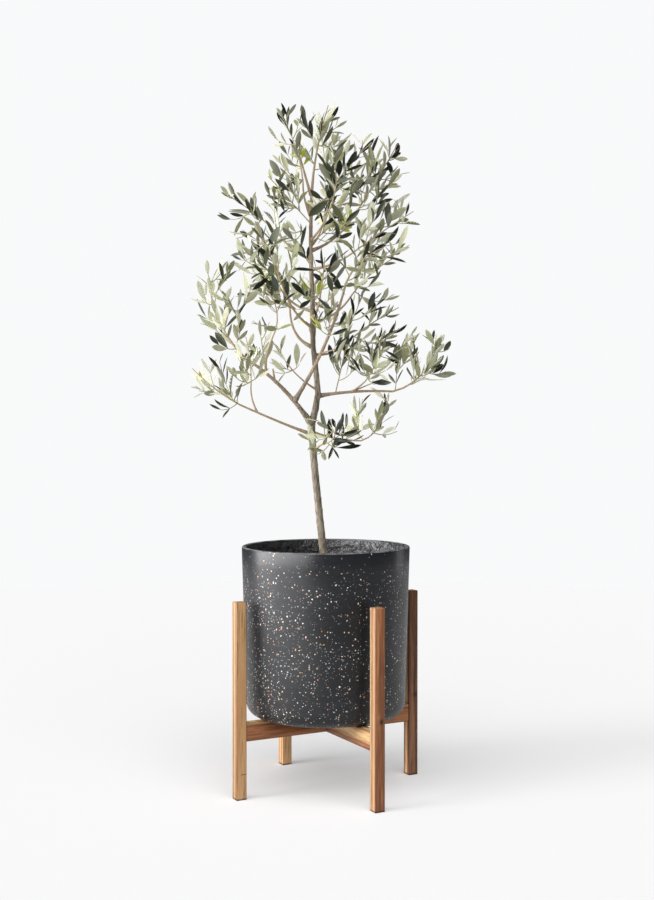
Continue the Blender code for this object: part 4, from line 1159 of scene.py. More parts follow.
@dataclass
class Crown:
    """The masses of leaves: stems, twigs and leaves that grow on from the limbs by a seeded rule."""

    skeleton: Skeleton
    stem_steps: int = 6
    stem_reach: float = 0.86
    stem_trim: float = 0.08
    stem_bend: float = 0.35
    stem_probes: tuple[float, ...] = (0.25, 0.5, 0.75, 1.0)
    stem_tip_radius: float = 0.0008
    shoot_radius: float = 0.0012
    twig_steps: int = 5
    twig_lean: float = math.radians(40.0)
    twig_reach: float = 0.80
    twig_least: float = 0.016
    twig_sag: float = 0.11
    twig_foot_radius: float = 0.0011
    twig_tip_radius: float = 0.0006
    goal_spacing: float = 0.036
    goal_tries: int = 700
    full_reach: float = 0.068
    foot_step: float = 0.005
    leaf_length: float = 0.0375
    leaf_length_spread: float = 0.34
    leaf_lift: float = 0.32
    leaf_pitch: float = 0.0160
    leaf_pitch_spread: float = 0.2
    leaf_lean: float = math.radians(40.0)
    leaf_lean_spread: float = math.radians(16.0)
    leaf_stray: float = math.radians(14.0)
    leaf_roll: float = 0.9
    leaf_tries: int = 4
    leaf_shrink: float = 0.08
    leaf_sink: float = 0.0004
    limb_clearance: float = 0.0012
    leaf_clearance: float = 0.0042
    spine_shares: tuple[float, ...] = (0.3, 0.45, 0.6, 0.75, 0.9, 1.0)
    box_margin: float = 0.0030
    young_pitch: float = 0.0035
    young_length: float = 0.022
    golden_share: float = 0.382
    wood_first: np.ndarray = field(init=False)
    wood_run: np.ndarray = field(init=False)
    wood_radius: np.ndarray = field(init=False)
    masses: dict[str, Mass] = field(default_factory=lambda: {**MASSES, **SHOOTS})
    stems: dict[str, Limb] = field(default_factory=dict)
    twigs: dict[str, list[Limb]] = field(default_factory=dict)
    leaves: list[Leaf] = field(default_factory=list)
    leaf_points: np.ndarray = field(default_factory=lambda: np.zeros((0, 3)))

    def grow(self) -> None:
        """Grows every mass."""
        for name, mass in self.masses.items():
            self.stems[name] = self.stem_line(mass)
        self.note_wood([*self.skeleton.limbs.values(), *self.stems.values()])
        for name, mass in self.masses.items():
            self.twigs[name] = self.twig_lines(name, mass)
        every = [twig for twigs in self.twigs.values() for twig in twigs]
        self.note_wood([*self.skeleton.limbs.values(), *self.stems.values(), *every])
        for name, stub in STUBS.items():
            self.grow_young(name, stub)
        for name, mass in self.masses.items():
            rng = random.Random(f"{SEED} {name} leaves")
            for wood in [*reversed(self.twigs[name]), self.stems[name]]:
                self.grow_leaves(name, mass, wood, rng)
            LOG.info("%s: %d twigs, %d leaves so far", name, len(self.twigs[name]), len(self.leaves))

    def grow_young(self, name: str, stub: Stub) -> None:
        """Adds the fresh young leaves that sprout round the end of a cut stub."""
        rng = random.Random(f"{SEED} {name} leaves")
        limb = self.skeleton.limbs[name]
        for index in range(stub.young_leaves):
            distance = limb.length - self.young_pitch * (index + 0.5)
            foot, along, ring = limb.along(distance)
            turn = 2.0 * math.pi * index * self.golden_share
            ahead = lean_from(along, ring, turn, rng.uniform(0.5, 1.0))
            across = Quaternion(ahead, rng.gauss(0.0, self.leaf_roll)) @ ahead.cross(along).normalized()
            length = self.young_length * rng.uniform(0.7, 1.2)
            foot = foot + (ahead - along * ahead.dot(along)).normalized() * stub.radius * 0.8
            self.leaves.append(Leaf(foot, ahead, across, length, rng.randrange(len(LeafForms.widths)), Tint.FRESH))

    def note_wood(self, limbs: list[Limb]) -> None:
        """Keeps the pieces of every limb's line, to measure distances from."""
        first, run, radius = [], [], []
        for limb in limbs:
            for a, b, r_a, r_b in zip(limb.points, limb.points[1:], limb.radii, limb.radii[1:]):
                first.append(a)
                run.append(b - a)
                radius.append(max(r_a, r_b))
        self.wood_first = np.array(first)
        self.wood_run = np.array(run)
        self.wood_radius = np.array(radius)

    def wood_gap(self, points: np.ndarray) -> float:
        """Gives the least distance from some points to the skin of any wood."""
        apart = points[:, None, :] - self.wood_first[None]
        share = (apart * self.wood_run).sum(2) / (self.wood_run ** 2).sum(1)
        apart -= self.wood_run * np.clip(share, 0.0, 1.0)[..., None]
        return float((np.linalg.norm(apart, axis=2) - self.wood_radius).min())

    def in_egg(self, point: Vector, mass: Mass, share: float = 1.0) -> bool:
        """Tells whether a point lies in a mass's egg-shaped space, scaled by a share."""
        offset = point - Vector(mass.middle)
        return sum((offset[k] / (mass.reach[k] * share)) ** 2 for k in range(3)) <= 1.0

    def in_box(self, point: Vector) -> bool:
        """Tells whether a point lies in the box of the solids."""
        low, high = CAD_BOX
        return all(low[k] + self.box_margin < point[k] < high[k] - self.box_margin for k in range(3))

    def stem_line(self, mass: Mass) -> Limb:
        """Gives a mass's stem: on from its limb's tip or side, through the middle of its space."""
        limb = self.skeleton.limbs[mass.limb]
        middle = Vector(mass.middle)
        if mass.leaves is None:
            foot, ahead, radius = limb.points[-1], limb.end_direction, limb.radii[-1]
        else:
            foot = limb.at_height(mass.leaves)
            ahead, radius = (middle - foot).normalized(), self.shoot_radius
        onward = (middle - foot).normalized()
        reach = 1.0 / math.sqrt(sum((onward[k] / mass.reach[k]) ** 2 for k in range(3)))
        share = self.stem_reach
        points: list[Vector] = []
        while not points or (share > 0.0 and not self.stem_is_free(points, mass)):
            end = middle + onward * reach * share
            chord = (end - foot).length
            bow = (foot + ahead * chord / 2.0 - (foot + end) / 2.0) * self.stem_bend
            points = bowed(foot, end, bow, self.stem_steps)
            share -= self.stem_trim
        return Limb(points, tapered(radius, self.stem_tip_radius, len(points)))

    def stem_is_free(self, points: list[Vector], mass: Mass) -> bool:
        """Tells whether a stem's middle line stays in the box and clear of every limb but its own."""
        if not self.in_box(points[-1]):
            return False
        others = [limb for name, limb in self.skeleton.limbs.items() if name != mass.limb]
        probes = [a.lerp(b, share) for a, b in zip(points, points[1:]) for share in self.stem_probes]
        return all(limb.clearance(probe) > self.limb_clearance for limb in others for probe in probes)

    def twig_lines(self, name: str, mass: Mass) -> list[Limb]:
        """Grows a mass's twigs, each from the wood nearest to its goal."""
        rng = random.Random(f"{SEED} {name} twigs")
        stem = self.stems[name]
        spacing = self.goal_spacing * min(1.0, sum(mass.reach) / (3.0 * self.full_reach)) / mass.fullness ** 0.33
        goals: list[Vector] = []
        for _ in range(self.goal_tries):
            offset = Vector([rng.uniform(-1.0, 1.0) * mass.reach[k] for k in range(3)])
            goal = Vector(mass.middle) + offset
            if self.in_egg(goal, mass, self.twig_reach) and all((goal - other).length > spacing for other in goals):
                goals.append(goal)
        goals.sort(key=lambda goal: (goal - stem.points[0]).length)
        twigs: list[Limb] = []
        for goal in goals:
            foot = self.twig_foot(goal, [stem, *twigs])
            length = (goal - foot).length
            if length < self.twig_least:
                continue
            points = bowed(foot, goal, UP * -self.twig_sag * length, self.twig_steps)
            if self.wood_gap(np.array(points[2:])) > self.limb_clearance:
                twigs.append(Limb(points, tapered(self.twig_foot_radius, self.twig_tip_radius, len(points))))
        return twigs

    def twig_foot(self, goal: Vector, wood: list[Limb]) -> Vector:
        """Chooses where on the wood a twig to a goal starts: near, and not square to the wood."""
        best_cost, best_foot = math.inf, goal
        for piece in wood:
            steps = max(2, round(piece.length / self.foot_step))
            for step in range(1, steps):
                foot, along, _ = piece.along(piece.length * step / steps)
                run = goal - foot
                cost = run.length * (1.0 + abs(run.angle(along) - self.twig_lean))
                if cost < best_cost:
                    best_cost, best_foot = cost, foot
        return best_foot

    def deal_tint(self, tone: Tone, rng: random.Random) -> Tint:
        """Deals a spray its tint by the mass's tone."""
        return rng.choices(list(Tint), weights=tone.value)[0]

    def nearby_tint(self, tint: Tint, rng: random.Random) -> Tint:
        """Gives a leaf its spray's tint, or at times the next darker or paler one."""
        tints = list(Tint)[:-1]
        if tint is Tint.FRESH or rng.random() < 0.55:
            return tint
        place = tints.index(tint) + rng.choice((-1, 1))
        return tints[min(max(place, 0), len(tints) - 1)]

    def grow_leaves(self, name: str, mass: Mass, wood: Limb, rng: random.Random) -> None:
        """Adds pairs of leaves along a stem or twig, each pair turned from the last, and one at its tip.

        Args:
            name: the mass's name.
            mass: the mass.
            wood: the stem or twig.
            rng: the mass's random numbers.
        """
        spray = self.deal_tint(mass.tone, rng)
        turn = rng.uniform(0.0, math.pi)
        total = wood.length
        distance = min(self.leaf_pitch, total * 0.5) if wood is not self.stems[name] else total * 0.3
        while distance < total:
            foot, along, ring = wood.along(distance)
            for half_turn in (0.0, math.pi):
                for attempt in range(self.leaf_tries):
                    lean = self.leaf_lean + rng.uniform(-1.0, 1.0) * self.leaf_lean_spread
                    stray = rng.uniform(-1.0, 1.0) * self.leaf_stray * (1 + attempt)
                    ahead = lean_from(along, ring, turn + half_turn + stray, lean)
                    size = 1.0 - self.leaf_shrink * attempt
                    if self.try_leaf(mass, foot, ahead, along, size, spray, rng):
                        break
            turn += math.pi / 2.0
            pitch = self.leaf_pitch / mass.fullness ** 0.5
            distance += pitch * rng.uniform(1.0 - self.leaf_pitch_spread, 1.0 + self.leaf_pitch_spread)
        foot, along, ring = wood.along(total * 0.985)
        ahead = lean_from(along, ring, rng.uniform(0.0, 2.0 * math.pi), rng.uniform(0.0, 0.25))
        self.try_leaf(mass, foot, ahead, ring[0], 1.0, spray, rng)

    def try_leaf(self, mass: Mass, foot: Vector, ahead: Vector, face: Vector, size: float, spray: Tint,
                 rng: random.Random) -> bool:
        """Adds a leaf where it stays in its space and clear of wood and of other leaves.

        Args:
            mass: the mass that it belongs to.
            foot: where on the wood it grows.
            ahead: its direction.
            face: the direction that its upper face is turned to before its roll.
            size: its share of the full length.
            spray: its spray's tint.
            rng: the mass's random numbers.

        Returns:
            Whether the leaf was added.
        """
        spread = self.leaf_length_spread
        length = size * self.leaf_length * rng.uniform(1.0 - spread, 1.0 + spread)
        ahead = (ahead + UP * self.leaf_lift).normalized()
        across = Quaternion(ahead, rng.gauss(0.0, self.leaf_roll)) @ ahead.cross(face).normalized()
        form = rng.randrange(len(LeafForms.widths))
        leaf = Leaf(foot - ahead * self.leaf_sink, ahead, across, length, form, self.nearby_tint(spray, rng))
        tip = foot + ahead * length
        if not self.in_egg(tip, mass) or not self.in_box(tip):
            return False
        points = leaf.spine(self.spine_shares)
        if self.wood_gap(points) < self.limb_clearance:
            return False
        if len(self.leaf_points):
            apart = np.linalg.norm(points[:, None] - self.leaf_points[None], axis=2)
            if apart.min() < self.leaf_clearance:
                return False
        self.leaves.append(leaf)
        self.leaf_points = np.concatenate([self.leaf_points, points])
        return True

    def dress_twigs(self) -> None:
        """Makes the stems and twigs as one piece of tubes."""
        job = NodeJob("twig_tubes")
        sides = job.option("Sides", "NodeSocketInt")
        finish = job.option("Finish", "NodeSocketMaterial")
        tree = job.tree
        curve = tree.add("GeometryNodeMeshToCurve", {}, {"Mesh": job.entry.outputs[0]})
        profile = tree.add("GeometryNodeCurvePrimitiveCircle", {}, {"Resolution": sides, "Radius": 1.0})
        skin = tree.add("GeometryNodeCurveToMesh", {}, {
            "Curve": curve.outputs[0], "Profile Curve": profile.outputs[0],
            "Scale": job.named("girth"), "Fill Caps": True})
        job.close(skin.outputs[0], finish)
        tan = PlainTint("twig_tan", (0.46, 0.355, 0.215), 0.7).make()
        green = PlainTint("twig_green", (0.42, 0.40, 0.225), 0.6).make()
        stems = polyline_mesh("twig_stems", [(stem.points, stem.radii) for stem in self.stems.values()])
        shoots = polyline_mesh("twig_shoots", [(t.points, t.radii) for twigs in self.twigs.values() for t in twigs])
        parts = [job.run(stems, "twig_stems", Sides=8, Finish=tan), job.run(shoots, "twig_shoots", Sides=6, Finish=green)]
        twigs = join_pieces("twigs", parts)
        twigs.data.shade_smooth()
        dress(twigs, "leaf", *MASSES)

    def dress_leaves(self) -> None:
        """Makes all leaves as one piece: each tint's leaves are set on their roots by one tree."""
        job = NodeJob("leaf_spray")
        forms = job.option("Forms", "NodeSocketCollection")
        upper = job.option("Upper", "NodeSocketMaterial")
        under = job.option("Under", "NodeSocketMaterial")
        tree = job.tree
        shapes = tree.add("GeometryNodeCollectionInfo", {}, {"Collection": forms, "Separate Children": True})
        rotation = tree.add("FunctionNodeEulerToRotation", {}, {0: job.named("turn", "FLOAT_VECTOR")})
        placed = tree.add("GeometryNodeInstanceOnPoints", {}, {
            "Points": job.entry.outputs[0], "Instance": shapes.outputs[0], "Pick Instance": True,
            "Instance Index": job.named("form", "INT"), "Rotation": rotation.outputs[0],
            "Scale": job.named("size")})
        real = tree.add("GeometryNodeRealizeInstances", {}, {"Geometry": placed.outputs[0]})
        top = tree.add("GeometryNodeSetMaterial", {}, {"Geometry": real.outputs[0], "Material": upper})
        low = tree.add("GeometryNodeSetMaterial", {}, {
            "Geometry": top.outputs[0], "Selection": job.named("underside", "INT"), "Material": under})
        tree.add("NodeGroupOutput", {}, {0: low.outputs[0]})
        collection = LeafForms().make()
        parts = []
        for tint in Tint:
            roots = [leaf for leaf in self.leaves if leaf.tint is tint]
            if not roots:
                continue
            name = "leaves_" + tint.name.lower()
            upper_look, under_look = tint.value
            parts.append(job.run(self.root_mesh(name, roots), name, Forms=collection,
                                 Upper=upper_look.make(), Under=under_look.make()))
        for form in list(collection.objects):
            bpy.data.objects.remove(form, do_unlink=True)
        bpy.data.collections.remove(collection)
        dress(join_pieces("leaves", parts), "leaf", *MASSES)

    def root_mesh(self, name: str, leaves: list[Leaf]) -> bpy.types.Mesh:
        """Makes a mesh of bare points at the leaves' roots, with each leaf's turn, size and form."""
        mesh = bpy.data.meshes.new(name + "_roots")
        mesh.from_pydata([tuple(leaf.root) for leaf in leaves], [], [])
        turns = [angle for leaf in leaves for angle in leaf.turn]
        mesh.attributes.new("turn", "FLOAT_VECTOR", "POINT").data.foreach_set("vector", turns)
        mesh.attributes.new("size", "FLOAT", "POINT").data.foreach_set("value", [leaf.length for leaf in leaves])
        mesh.attributes.new("form", "INT", "POINT").data.foreach_set("value", [leaf.form for leaf in leaves])
        return mesh


@dataclass
class Pot:
    """The round pot: one closed turned wall with a crinkled inside."""

    steps: int = 300
    wall: float = 0.0080
    floor: float = 0.0120
    corner: float = 0.0230
    lip_round: float = 0.0026
    side_radius: float = 0.1468
    deep_rows: int = 5
    inner_rows: int = 26
    inner_depth: float = 0.052
    outer_rows: int = 10
    crinkle: float = 0.0021
    crinkle_scale: float = 62.0
    middle: Vector = field(init=False)
    bottom: float = field(init=False)
    rim: float = field(init=False)
    rim_radius: float = field(init=False)

    def __post_init__(self) -> None:
        """Reads the pot's place and size from the frame."""
        low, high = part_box("pot")
        self.middle = Vector(((low.x + high.x) / 2.0, (low.y + high.y) / 2.0, 0.0))
        self.bottom, self.rim = low.z, high.z
        self.rim_radius = (high.x - low.x) / 2.0

    def arc(self, centre: tuple[float, float], radius: float, start: float, end: float, steps: int) -> list:
        """Gives points of an arc in the profile, both ends included, with angles in degrees."""
        angles = [math.radians(start + (end - start) * step / steps) for step in range(steps + 1)]
        return [(centre[0] + radius * math.cos(a), centre[1] + radius * math.sin(a)) for a in angles]

    def profile(self) -> tuple[list[tuple[float, float]], range]:
        """Gives the profile from the inner floor over the lip to the bottom, and which rows are inside."""
        inner = self.corner - self.wall
        floor = self.bottom + self.floor
        lip = self.lip_round
        foot = (self.side_radius - self.corner, self.bottom + self.corner)
        points = [(0.0, floor), (0.06, floor)]
        points += self.arc((self.side_radius - self.corner, floor + inner), inner, -90.0, 0.0, 4)
        low_r, low_z = points[-1]
        top_r, top_z = self.rim_radius - self.wall, self.rim - lip
        open_from = 1.0 - self.inner_depth / (top_z - low_z)
        shares = [open_from * i / self.deep_rows for i in range(1, self.deep_rows)]
        shares += [open_from + (1.0 - open_from) * i / self.inner_rows for i in range(self.inner_rows)]
        points += [(low_r + (top_r - low_r) * share, low_z + (top_z - low_z) * share) for share in shares]
        inside = range(6 + self.deep_rows, len(points))
        points += self.arc((top_r + lip, self.rim - lip), lip, 180.0, 90.0, 4)
        points += self.arc((self.rim_radius - lip, self.rim - lip), lip, 90.0, 0.0, 5)
        high_r, high_z = points[-1]
        points += [(high_r + (self.side_radius - high_r) * i / self.outer_rows,
                    high_z + (foot[1] - high_z) * i / self.outer_rows) for i in range(1, self.outer_rows)]
        points += self.arc(foot, self.corner, 0.0, -90.0, 10)
        return [*points, (0.06, self.bottom), (0.0, self.bottom)], inside

    def make(self) -> None:
        """Turns the profile, crinkles its inside and dresses it."""
        points, inside = self.profile()
        bm = bmesh.new()
        rows = []
        for radius, height in points:
            count = 1 if radius == 0.0 else self.steps
            row = []
            for step in range(count):
                angle = 2.0 * math.pi * step / self.steps
                row.append(bm.verts.new(self.middle + Vector((radius * math.cos(angle), radius * math.sin(angle), height))))
            rows.append(row)
        for index, (row, after) in enumerate(zip(rows, rows[1:])):
            for step in range(self.steps):
                pair = [row[step % len(row)], row[(step + 1) % len(row)]]
                next_pair = [after[(step + 1) % len(after)], after[step % len(after)]]
                corners = list(dict.fromkeys([*pair, *next_pair]))
                face = bm.faces.new(corners)
                face.material_index = int(index < inside.stop)
        self.crinkle_inside([vert for index in inside for vert in rows[index]])
        bmesh.ops.recalc_face_normals(bm, faces=bm.faces)
        pot = from_bmesh("pot_shell", bm, TerrazzoFinish().make(), LinerFinish().make())
        pot.data.shade_smooth()
        pot.data.set_sharp_from_angle(angle=math.radians(50.0))
        dress(pot, "pot_terrazzo", "pot")

    def crinkle_inside(self, verts: list[bmesh.types.BMVert]) -> None:
        """Moves the inner wall in and out in sharp irregular folds, less towards the lip."""
        for vert in verts:
            offset = vert.co - self.middle
            fade = min(1.0, max(0.0, (self.rim - 0.004 - offset.z) / 0.008))
            place = Vector((offset.x, offset.y, offset.z * 1.5)) * self.crinkle_scale
            fold = noise.ridged_multi_fractal(place, 0.9, 2.1, 3, 1.0, 2.0)
            radial = Vector((offset.x, offset.y, 0.0)).normalized()
            vert.co -= radial * (self.crinkle * fade * min(2.0, fold))


@dataclass
class Soil:
    """The soil in the pot: a crumbly surface with loose crumbs on it."""

    rings: int = 44
    steps: int = 120
    rise: float = 0.0030
    crumbs_per_area: float = 9000.0
    crumb_gap: float = 0.006
    crumb: float = 0.0030
    low: Vector = field(init=False)
    high: Vector = field(init=False)

    def __post_init__(self) -> None:
        """Reads the soil's box from the frame."""
        self.low, self.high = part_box("soil")

    def make(self, finish: bpy.types.Material) -> None:
        """Makes the soil as a closed body with an uneven top, and the crumbs on it."""
        middle = (self.low + self.high) / 2.0
        radius = (self.high.x - self.low.x) / 2.0
        bm = bmesh.new()
        rows = [[bm.verts.new((middle.x, middle.y, self.high.z))]]
        for ring in range(1, self.rings + 1):
            reach = radius * ring / self.rings
            rows.append([bm.verts.new((middle.x + reach * math.cos(2.0 * math.pi * step / self.steps),
                                       middle.y + reach * math.sin(2.0 * math.pi * step / self.steps),
                                       self.high.z)) for step in range(self.steps)])
        rows.append([bm.verts.new((vert.co.x, vert.co.y, self.high.z - 0.03)) for vert in rows[-1]])
        for row, after in zip(rows, rows[1:]):
            for step in range(self.steps):
                corners = [row[step % len(row)], after[step], after[(step + 1) % self.steps]]
                if len(row) > 1:
                    corners.append(row[(step + 1) % self.steps])
                bm.faces.new(corners)
        bm.faces.new(rows[-1][::-1])
        self.roughen(rows[:-1], middle)
        bmesh.ops.recalc_face_normals(bm, faces=bm.faces)
        soil = from_bmesh("soil_top", bm, finish)
        soil.data.shade_smooth()
        crumbs = self.scatter(soil.data.copy(), finish)
        dress(join_pieces("soil_mix", [soil, crumbs]), "soil", "soil")

    def roughen(self, rows: list[list[bmesh.types.BMVert]], middle: Vector) -> None:
        """Raises and lowers the soil in lumps, never above the solid's top."""
        rng = random.Random(f"{SEED} lumps")
        lumps = [(rng.uniform(40.0, 400.0), rng.uniform(0.0, math.pi), rng.uniform(0.0, 6.3)) for _ in range(18)]
        for row in rows:
            for vert in row:
                offset = vert.co - middle
                total = sum(math.sin(pitch * (offset.x * math.cos(turn) + offset.y * math.sin(turn)) + phase)
                            for pitch, turn, phase in lumps)
                vert.co.z -= self.rise * min(1.0, max(0.0, 0.5 + total / 12.0))

    def scatter(self, ground: bpy.types.Mesh, finish: bpy.types.Material) -> bpy.types.Object:
        """Scatters crumbs over the soil's upward faces."""
        job = NodeJob("soil_crumbs")
        density = job.option("Density", "NodeSocketFloat")
        gap = job.option("Gap", "NodeSocketFloat")
        size = job.option("Size", "NodeSocketFloat")
        paint = job.option("Paint", "NodeSocketMaterial")
        tree = job.tree
        normal = tree.add("GeometryNodeInputNormal").outputs[0]
        upward = tree.add("ShaderNodeSeparateXYZ", {}, {0: normal})
        chosen = tree.out(upward, "Z").math("GREATER_THAN", 0.5)
        spots = tree.add("GeometryNodeDistributePointsOnFaces", {"distribute_method": "POISSON"}, {
            "Mesh": job.entry.outputs[0], "Selection": chosen, "Distance Min": gap, "Density Max": density,
            "Seed": SEED})
        lump = tree.add("GeometryNodeMeshIcoSphere", {}, {"Radius": 1.0, "Subdivisions": 1})
        stretch = tree.add("FunctionNodeRandomValue", {"data_type": "FLOAT_VECTOR"}, {
            "Min": (0.25, 0.4, 0.15), "Max": (0.9, 1.3, 0.5), "Seed": SEED})
        scaled = tree.add("ShaderNodeVectorMath", {"operation": "SCALE"}, {0: stretch.outputs[0]})
        tree.feed(scaled.inputs["Scale"], size)
        tumble = tree.add("FunctionNodeRandomValue", {"data_type": "FLOAT_VECTOR"}, {
            "Min": (-0.5, -0.5, 0.0), "Max": (0.5, 0.5, 2.0 * math.pi), "Seed": SEED + 1})
        turn = tree.add("FunctionNodeEulerToRotation", {}, {0: tumble.outputs[0]})
        placed = tree.add("GeometryNodeInstanceOnPoints", {}, {
            "Points": spots.outputs[0], "Instance": lump.outputs[0], "Rotation": turn.outputs[0],
            "Scale": scaled.outputs[0]})
        job.close(placed.outputs[0], paint)
        crumbs = job.run(ground, "soil_crumbs", Density=self.crumbs_per_area, Gap=self.crumb_gap,
                         Size=self.crumb, Paint=finish)
        return crumbs


@dataclass
class Stand:
    """The wooden stand: four square legs and two half-lapped bars under the pot."""

    turn: float = math.radians(28.2)
    leg_side: float = 0.0197
    bar_width: float = 0.0186
    edge: float = 0.0014
    edge_segments: int = 3
    gap: float = 0.0003
    legs: dict = field(default_factory=lambda: {
        "leg_back_right": (WoodTone.GOLDEN, WoodTone.WALNUT),
        # The back-left leg's tone is partly painted light, made paler to make up for its shade.
        "leg_back_left": (WoodTone.AMBER, WoodTone.AMBER),
        "leg_front_left": (WoodTone.HONEY, WoodTone.GOLDEN),
        "leg_front_right": (WoodTone.CREAM, WoodTone.RUSSET),
    })
    bars: dict = field(default_factory=lambda: {
        # The bars' pale tone is partly painted light, to make up for the pot's shade on them.
        "bar_left_right": (WoodTone.STRAW, WoodTone.RUSSET, 0.0, 1.0, 0.72),
        "bar_front_back": (WoodTone.STRAW, WoodTone.RUSSET, math.pi / 2.0, -1.0, -0.45),
    })

    joints: dict = field(default_factory=lambda: {"leg_front_left": 0.046})

    def make(self) -> None:
        """Makes the legs and bars, each with the grain along its own length."""
        for name, (tone, heart) in self.legs.items():
            low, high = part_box(name)
            middle = (low + high) / 2.0
            size = Vector((self.leg_side, self.leg_side, high.z - low.z))
            wood = WoodFinish("wood_" + name, tone, heart, middle, self.turn, self.leg_side / 2.0,
                              self.leg_side / 2.0, knots=self.knots(name, middle),
                              joint=self.joints.get(name)).make()
            leg = self.board(name + "_wood", size, middle, self.turn, wood)
            dress(leg, "stand_wood", name)
        for name, (tone, heart, quarter, slot_side, heart_top) in self.bars.items():
            low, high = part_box(name)
            middle = (low + high) / 2.0
            turn = self.turn + quarter
            span = max(high.x - low.x, high.y - low.y)
            steep = max(abs(math.cos(turn)), abs(math.sin(turn)))
            gentle = min(abs(math.cos(turn)), abs(math.sin(turn)))
            length = (span - self.bar_width * gentle) / steep
            size = Vector((length, self.bar_width, high.z - low.z))
            wood = WoodFinish("wood_" + name, tone, heart, middle, turn, self.bar_width / 2.0,
                              size.z / 2.0, upright=False, heart_top=heart_top).make()
            bar = self.board(name + "_wood", size, middle, turn, wood)
            self.cut_slot(bar, size, middle, turn, slot_side)
            dress(bar, "stand_wood", name)

    def knots(self, name: str, middle: Vector) -> tuple[Place, ...]:
        """Gives a leg's knots: one on a front face of each right-hand leg."""
        half = self.leg_side / 2.0
        spots = {"leg_front_right": (0.25, -1.0, 0.157), "leg_back_right": (0.4, -1.0, 0.154)}
        if name not in spots:
            return ()
        side, front, height = spots[name]
        offset = Quaternion(UP, self.turn) @ Vector((side * half, front * half, 0.0))
        return ((middle.x + offset.x, middle.y + offset.y, height),)

    def board(self, name: str, size: Vector, middle: Vector, turn: float,
              wood: bpy.types.Material) -> bpy.types.Object:
        """Makes a board with eased edges in its place."""
        bm = bmesh.new()
        bmesh.ops.create_cube(bm, size=1.0)
        bmesh.ops.scale(bm, vec=size, verts=bm.verts)
        bmesh.ops.bevel(bm, geom=list(bm.edges), offset=self.edge, segments=self.edge_segments,
                        profile=0.5, affect="EDGES")
        bmesh.ops.transform(bm, matrix=Matrix.Translation(middle) @ Matrix.Rotation(turn, 4, "Z"), verts=bm.verts)
        board = from_bmesh(name, bm, wood)
        board.data.shade_smooth()
        board.data.set_sharp_from_angle(angle=math.radians(40.0))
        return board

    def cut_slot(self, bar: bpy.types.Object, size: Vector, middle: Vector, turn: float, side: float) -> None:
        """Cuts the half-lap slot where the bars cross."""
        depth = size.z / 2.0 + self.gap / 2.0
        margin = 0.01
        bm = bmesh.new()
        bmesh.ops.create_cube(bm, size=1.0)
        bmesh.ops.scale(bm, vec=(self.bar_width + 2.0 * self.gap, self.bar_width + margin, depth + margin), verts=bm.verts)
        lift = side * (size.z / 2.0 - depth + (depth + margin) / 2.0)
        place = Matrix.Translation(middle + UP * lift) @ Matrix.Rotation(turn, 4, "Z")
        bmesh.ops.transform(bm, matrix=place, verts=bm.verts)
        cutter = from_bmesh("slot_cutter", bm)
        slot = bar.modifiers.new("half_lap", "BOOLEAN")
        slot.operation, slot.object, slot.solver = "DIFFERENCE", cutter, "EXACT"
        graph = bpy.context.evaluated_depsgraph_get()
        cut = bpy.data.meshes.new_from_object(bar.evaluated_get(graph))
        bar.modifiers.clear()
        bar.data = cut
        bpy.data.objects.remove(cutter, do_unlink=True)


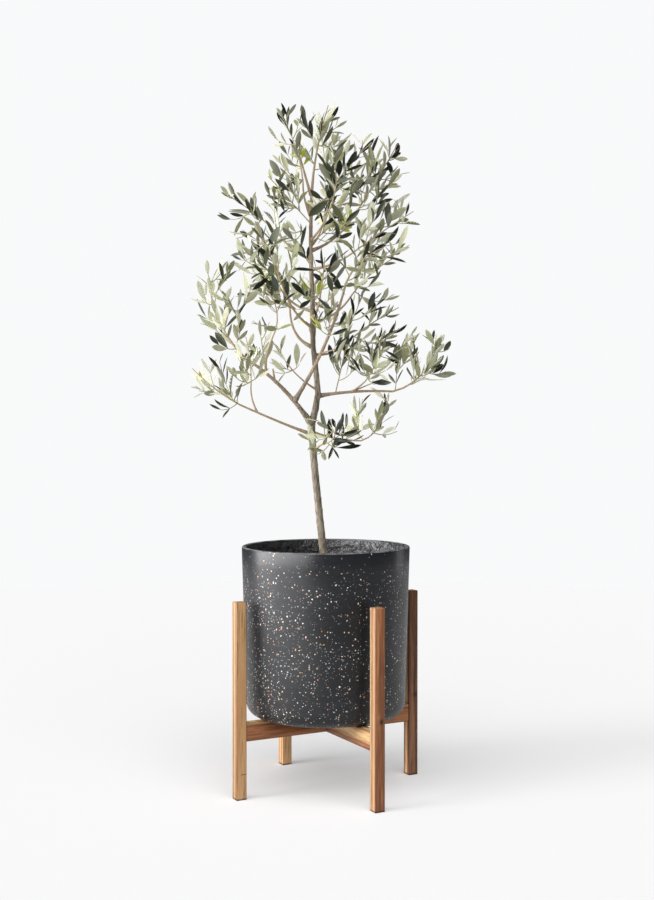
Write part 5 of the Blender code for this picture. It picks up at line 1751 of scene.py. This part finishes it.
@dataclass
class Studio:
    """The plain pale floor, the soft studio light and the camera.

    The camera sees an even pale backdrop. The room that lights the plant is dimmer, as it is behind
    a real camera: most light falls from a wide soft key at the left and from a soft sun overhead.
    """

    camera_place: Place = (-0.0022, -2.3688, 0.6613)
    camera_pitch: float = math.radians(0.92)
    focal_share: float = 1282.67 / 900.0
    sensor: float = 36.0
    floor_radius: float = 3.2
    floor_colour: Colour = (0.745, 0.745, 0.750)
    backdrop: Colour = (0.945, 0.95, 0.957)
    room: Colour = (0.10, 0.10, 0.105)
    floor_glow: float = 0.29

    def make(self) -> None:
        """Makes the floor, the lights and the camera."""
        bm = bmesh.new()
        bmesh.ops.create_circle(bm, cap_ends=True, segments=96, radius=self.floor_radius)
        look = Look("floor_pale")
        look.set(Base_Color=self.floor_colour, Roughness=0.9, Specular_IOR_Level=0.0,
                 Emission_Color=(1.0, 1.0, 1.0), Emission_Strength=self.floor_glow)
        floor = from_bmesh("floor", bm, look.material)
        self.light_room()
        self.sun("key", (-1.0, -0.50, 0.50), 1.0, 24.0)
        self.sun("overhead", (-0.12, -0.70, 1.0), 2.50, 74.0)
        left = self.panel("left_panel", (-2.2, -0.7, 0.76), (0.0, -0.7, 0.70), (4.4, 1.1), 38.0, 90.0, floor)
        left.visible_glossy = False
        sheen = self.panel("left_sheen", (-1.3, -1.85, 0.80), (0.0, -1.85, 0.80), (4.2, 1.1), 142.0, 165.0, floor)
        sheen.visible_diffuse = False
        self.panel("rim_right", (2.1, 1.1, 0.6), (0.0, 0.0, 0.3), (0.35, 1.2), 0.8, 90.0, floor)
        lens = bpy.data.cameras.new("view")
        lens.sensor_width = self.sensor
        lens.lens = self.sensor * self.focal_share
        lens.clip_end = 60.0
        camera = bpy.data.objects.new("view", lens)
        camera.location = self.camera_place
        camera.rotation_euler = (math.pi / 2.0 - self.camera_pitch, 0.0, 0.0)
        bpy.context.scene.collection.objects.link(camera)
        bpy.context.scene.camera = camera
        bpy.context.scene.view_settings.view_transform = "Standard"

    def light_room(self) -> None:
        """Makes the pale backdrop that shows behind the plant and the dim room that lights it."""
        world = bpy.data.worlds.new("studio")
        world.use_nodes = True
        bpy.context.scene.world = world
        tree = Tree(world.node_tree)
        tree.nodes.nodes.clear()
        seen = tree.add("ShaderNodeBackground", {}, {"Color": self.backdrop})
        felt = tree.add("ShaderNodeBackground", {}, {"Color": self.room})
        path = tree.add("ShaderNodeLightPath").outputs["Is Camera Ray"]
        mixed = tree.add("ShaderNodeMixShader", {}, {0: path, 1: felt.outputs[0], 2: seen.outputs[0]})
        tree.add("ShaderNodeOutputWorld", {}, {"Surface": mixed.outputs[0]})

    def sun(self, name: str, towards: Place, strength: float, width: float) -> None:
        """Adds an even light from far off, in a direction, with its apparent width in degrees."""
        light = bpy.data.lights.new(name, "SUN")
        light.energy = strength
        light.angle = math.radians(width)
        lamp = bpy.data.objects.new(name, light)
        lamp.rotation_euler = Vector(towards).to_track_quat("Z", "Y").to_euler()
        bpy.context.scene.collection.objects.link(lamp)

    def panel(self, name: str, place: Place, target: Place, size: tuple[float, float], power: float,
              spread: float, floor: bpy.types.Object) -> bpy.types.Object:
        """Adds a soft panel of light that faces a target and leaves the floor out.

        Args:
            name: the light's name.
            place: its middle.
            target: the point that it faces.
            size: its width and height.
            power: its power in watts.
            spread: the angle that its light spreads over, in degrees.
            floor: the floor, which it doesn't light.

        Returns:
            The light's object.
        """
        light = bpy.data.lights.new(name, "AREA")
        light.shape = "RECTANGLE"
        light.size, light.size_y = size
        light.energy = power
        light.spread = math.radians(spread)
        lamp = bpy.data.objects.new(name, light)
        lamp.location = place
        lamp.rotation_euler = (Vector(target) - Vector(place)).to_track_quat("-Z", "Y").to_euler()
        unlit = bpy.data.collections.new(name + "_leaves_out")
        unlit.objects.link(floor)
        unlit.collection_objects[0].light_linking.link_state = "EXCLUDE"
        lamp.light_linking.receiver_collection = unlit
        bpy.context.scene.collection.objects.link(lamp)
        return lamp


def main() -> None:
    """Builds every piece in order."""
    logging.basicConfig(level=logging.INFO, format="%(name)s %(message)s")
    skeleton = Skeleton()
    skeleton.grow()
    skeleton.cover(BarkFinish().make())
    crown = Crown(skeleton)
    crown.grow()
    crown.dress_twigs()
    crown.dress_leaves()
    Pot().make()
    Soil().make(SoilFinish().make())
    Stand().make()
    Studio().make()


if __name__ == "__main__":
    main()
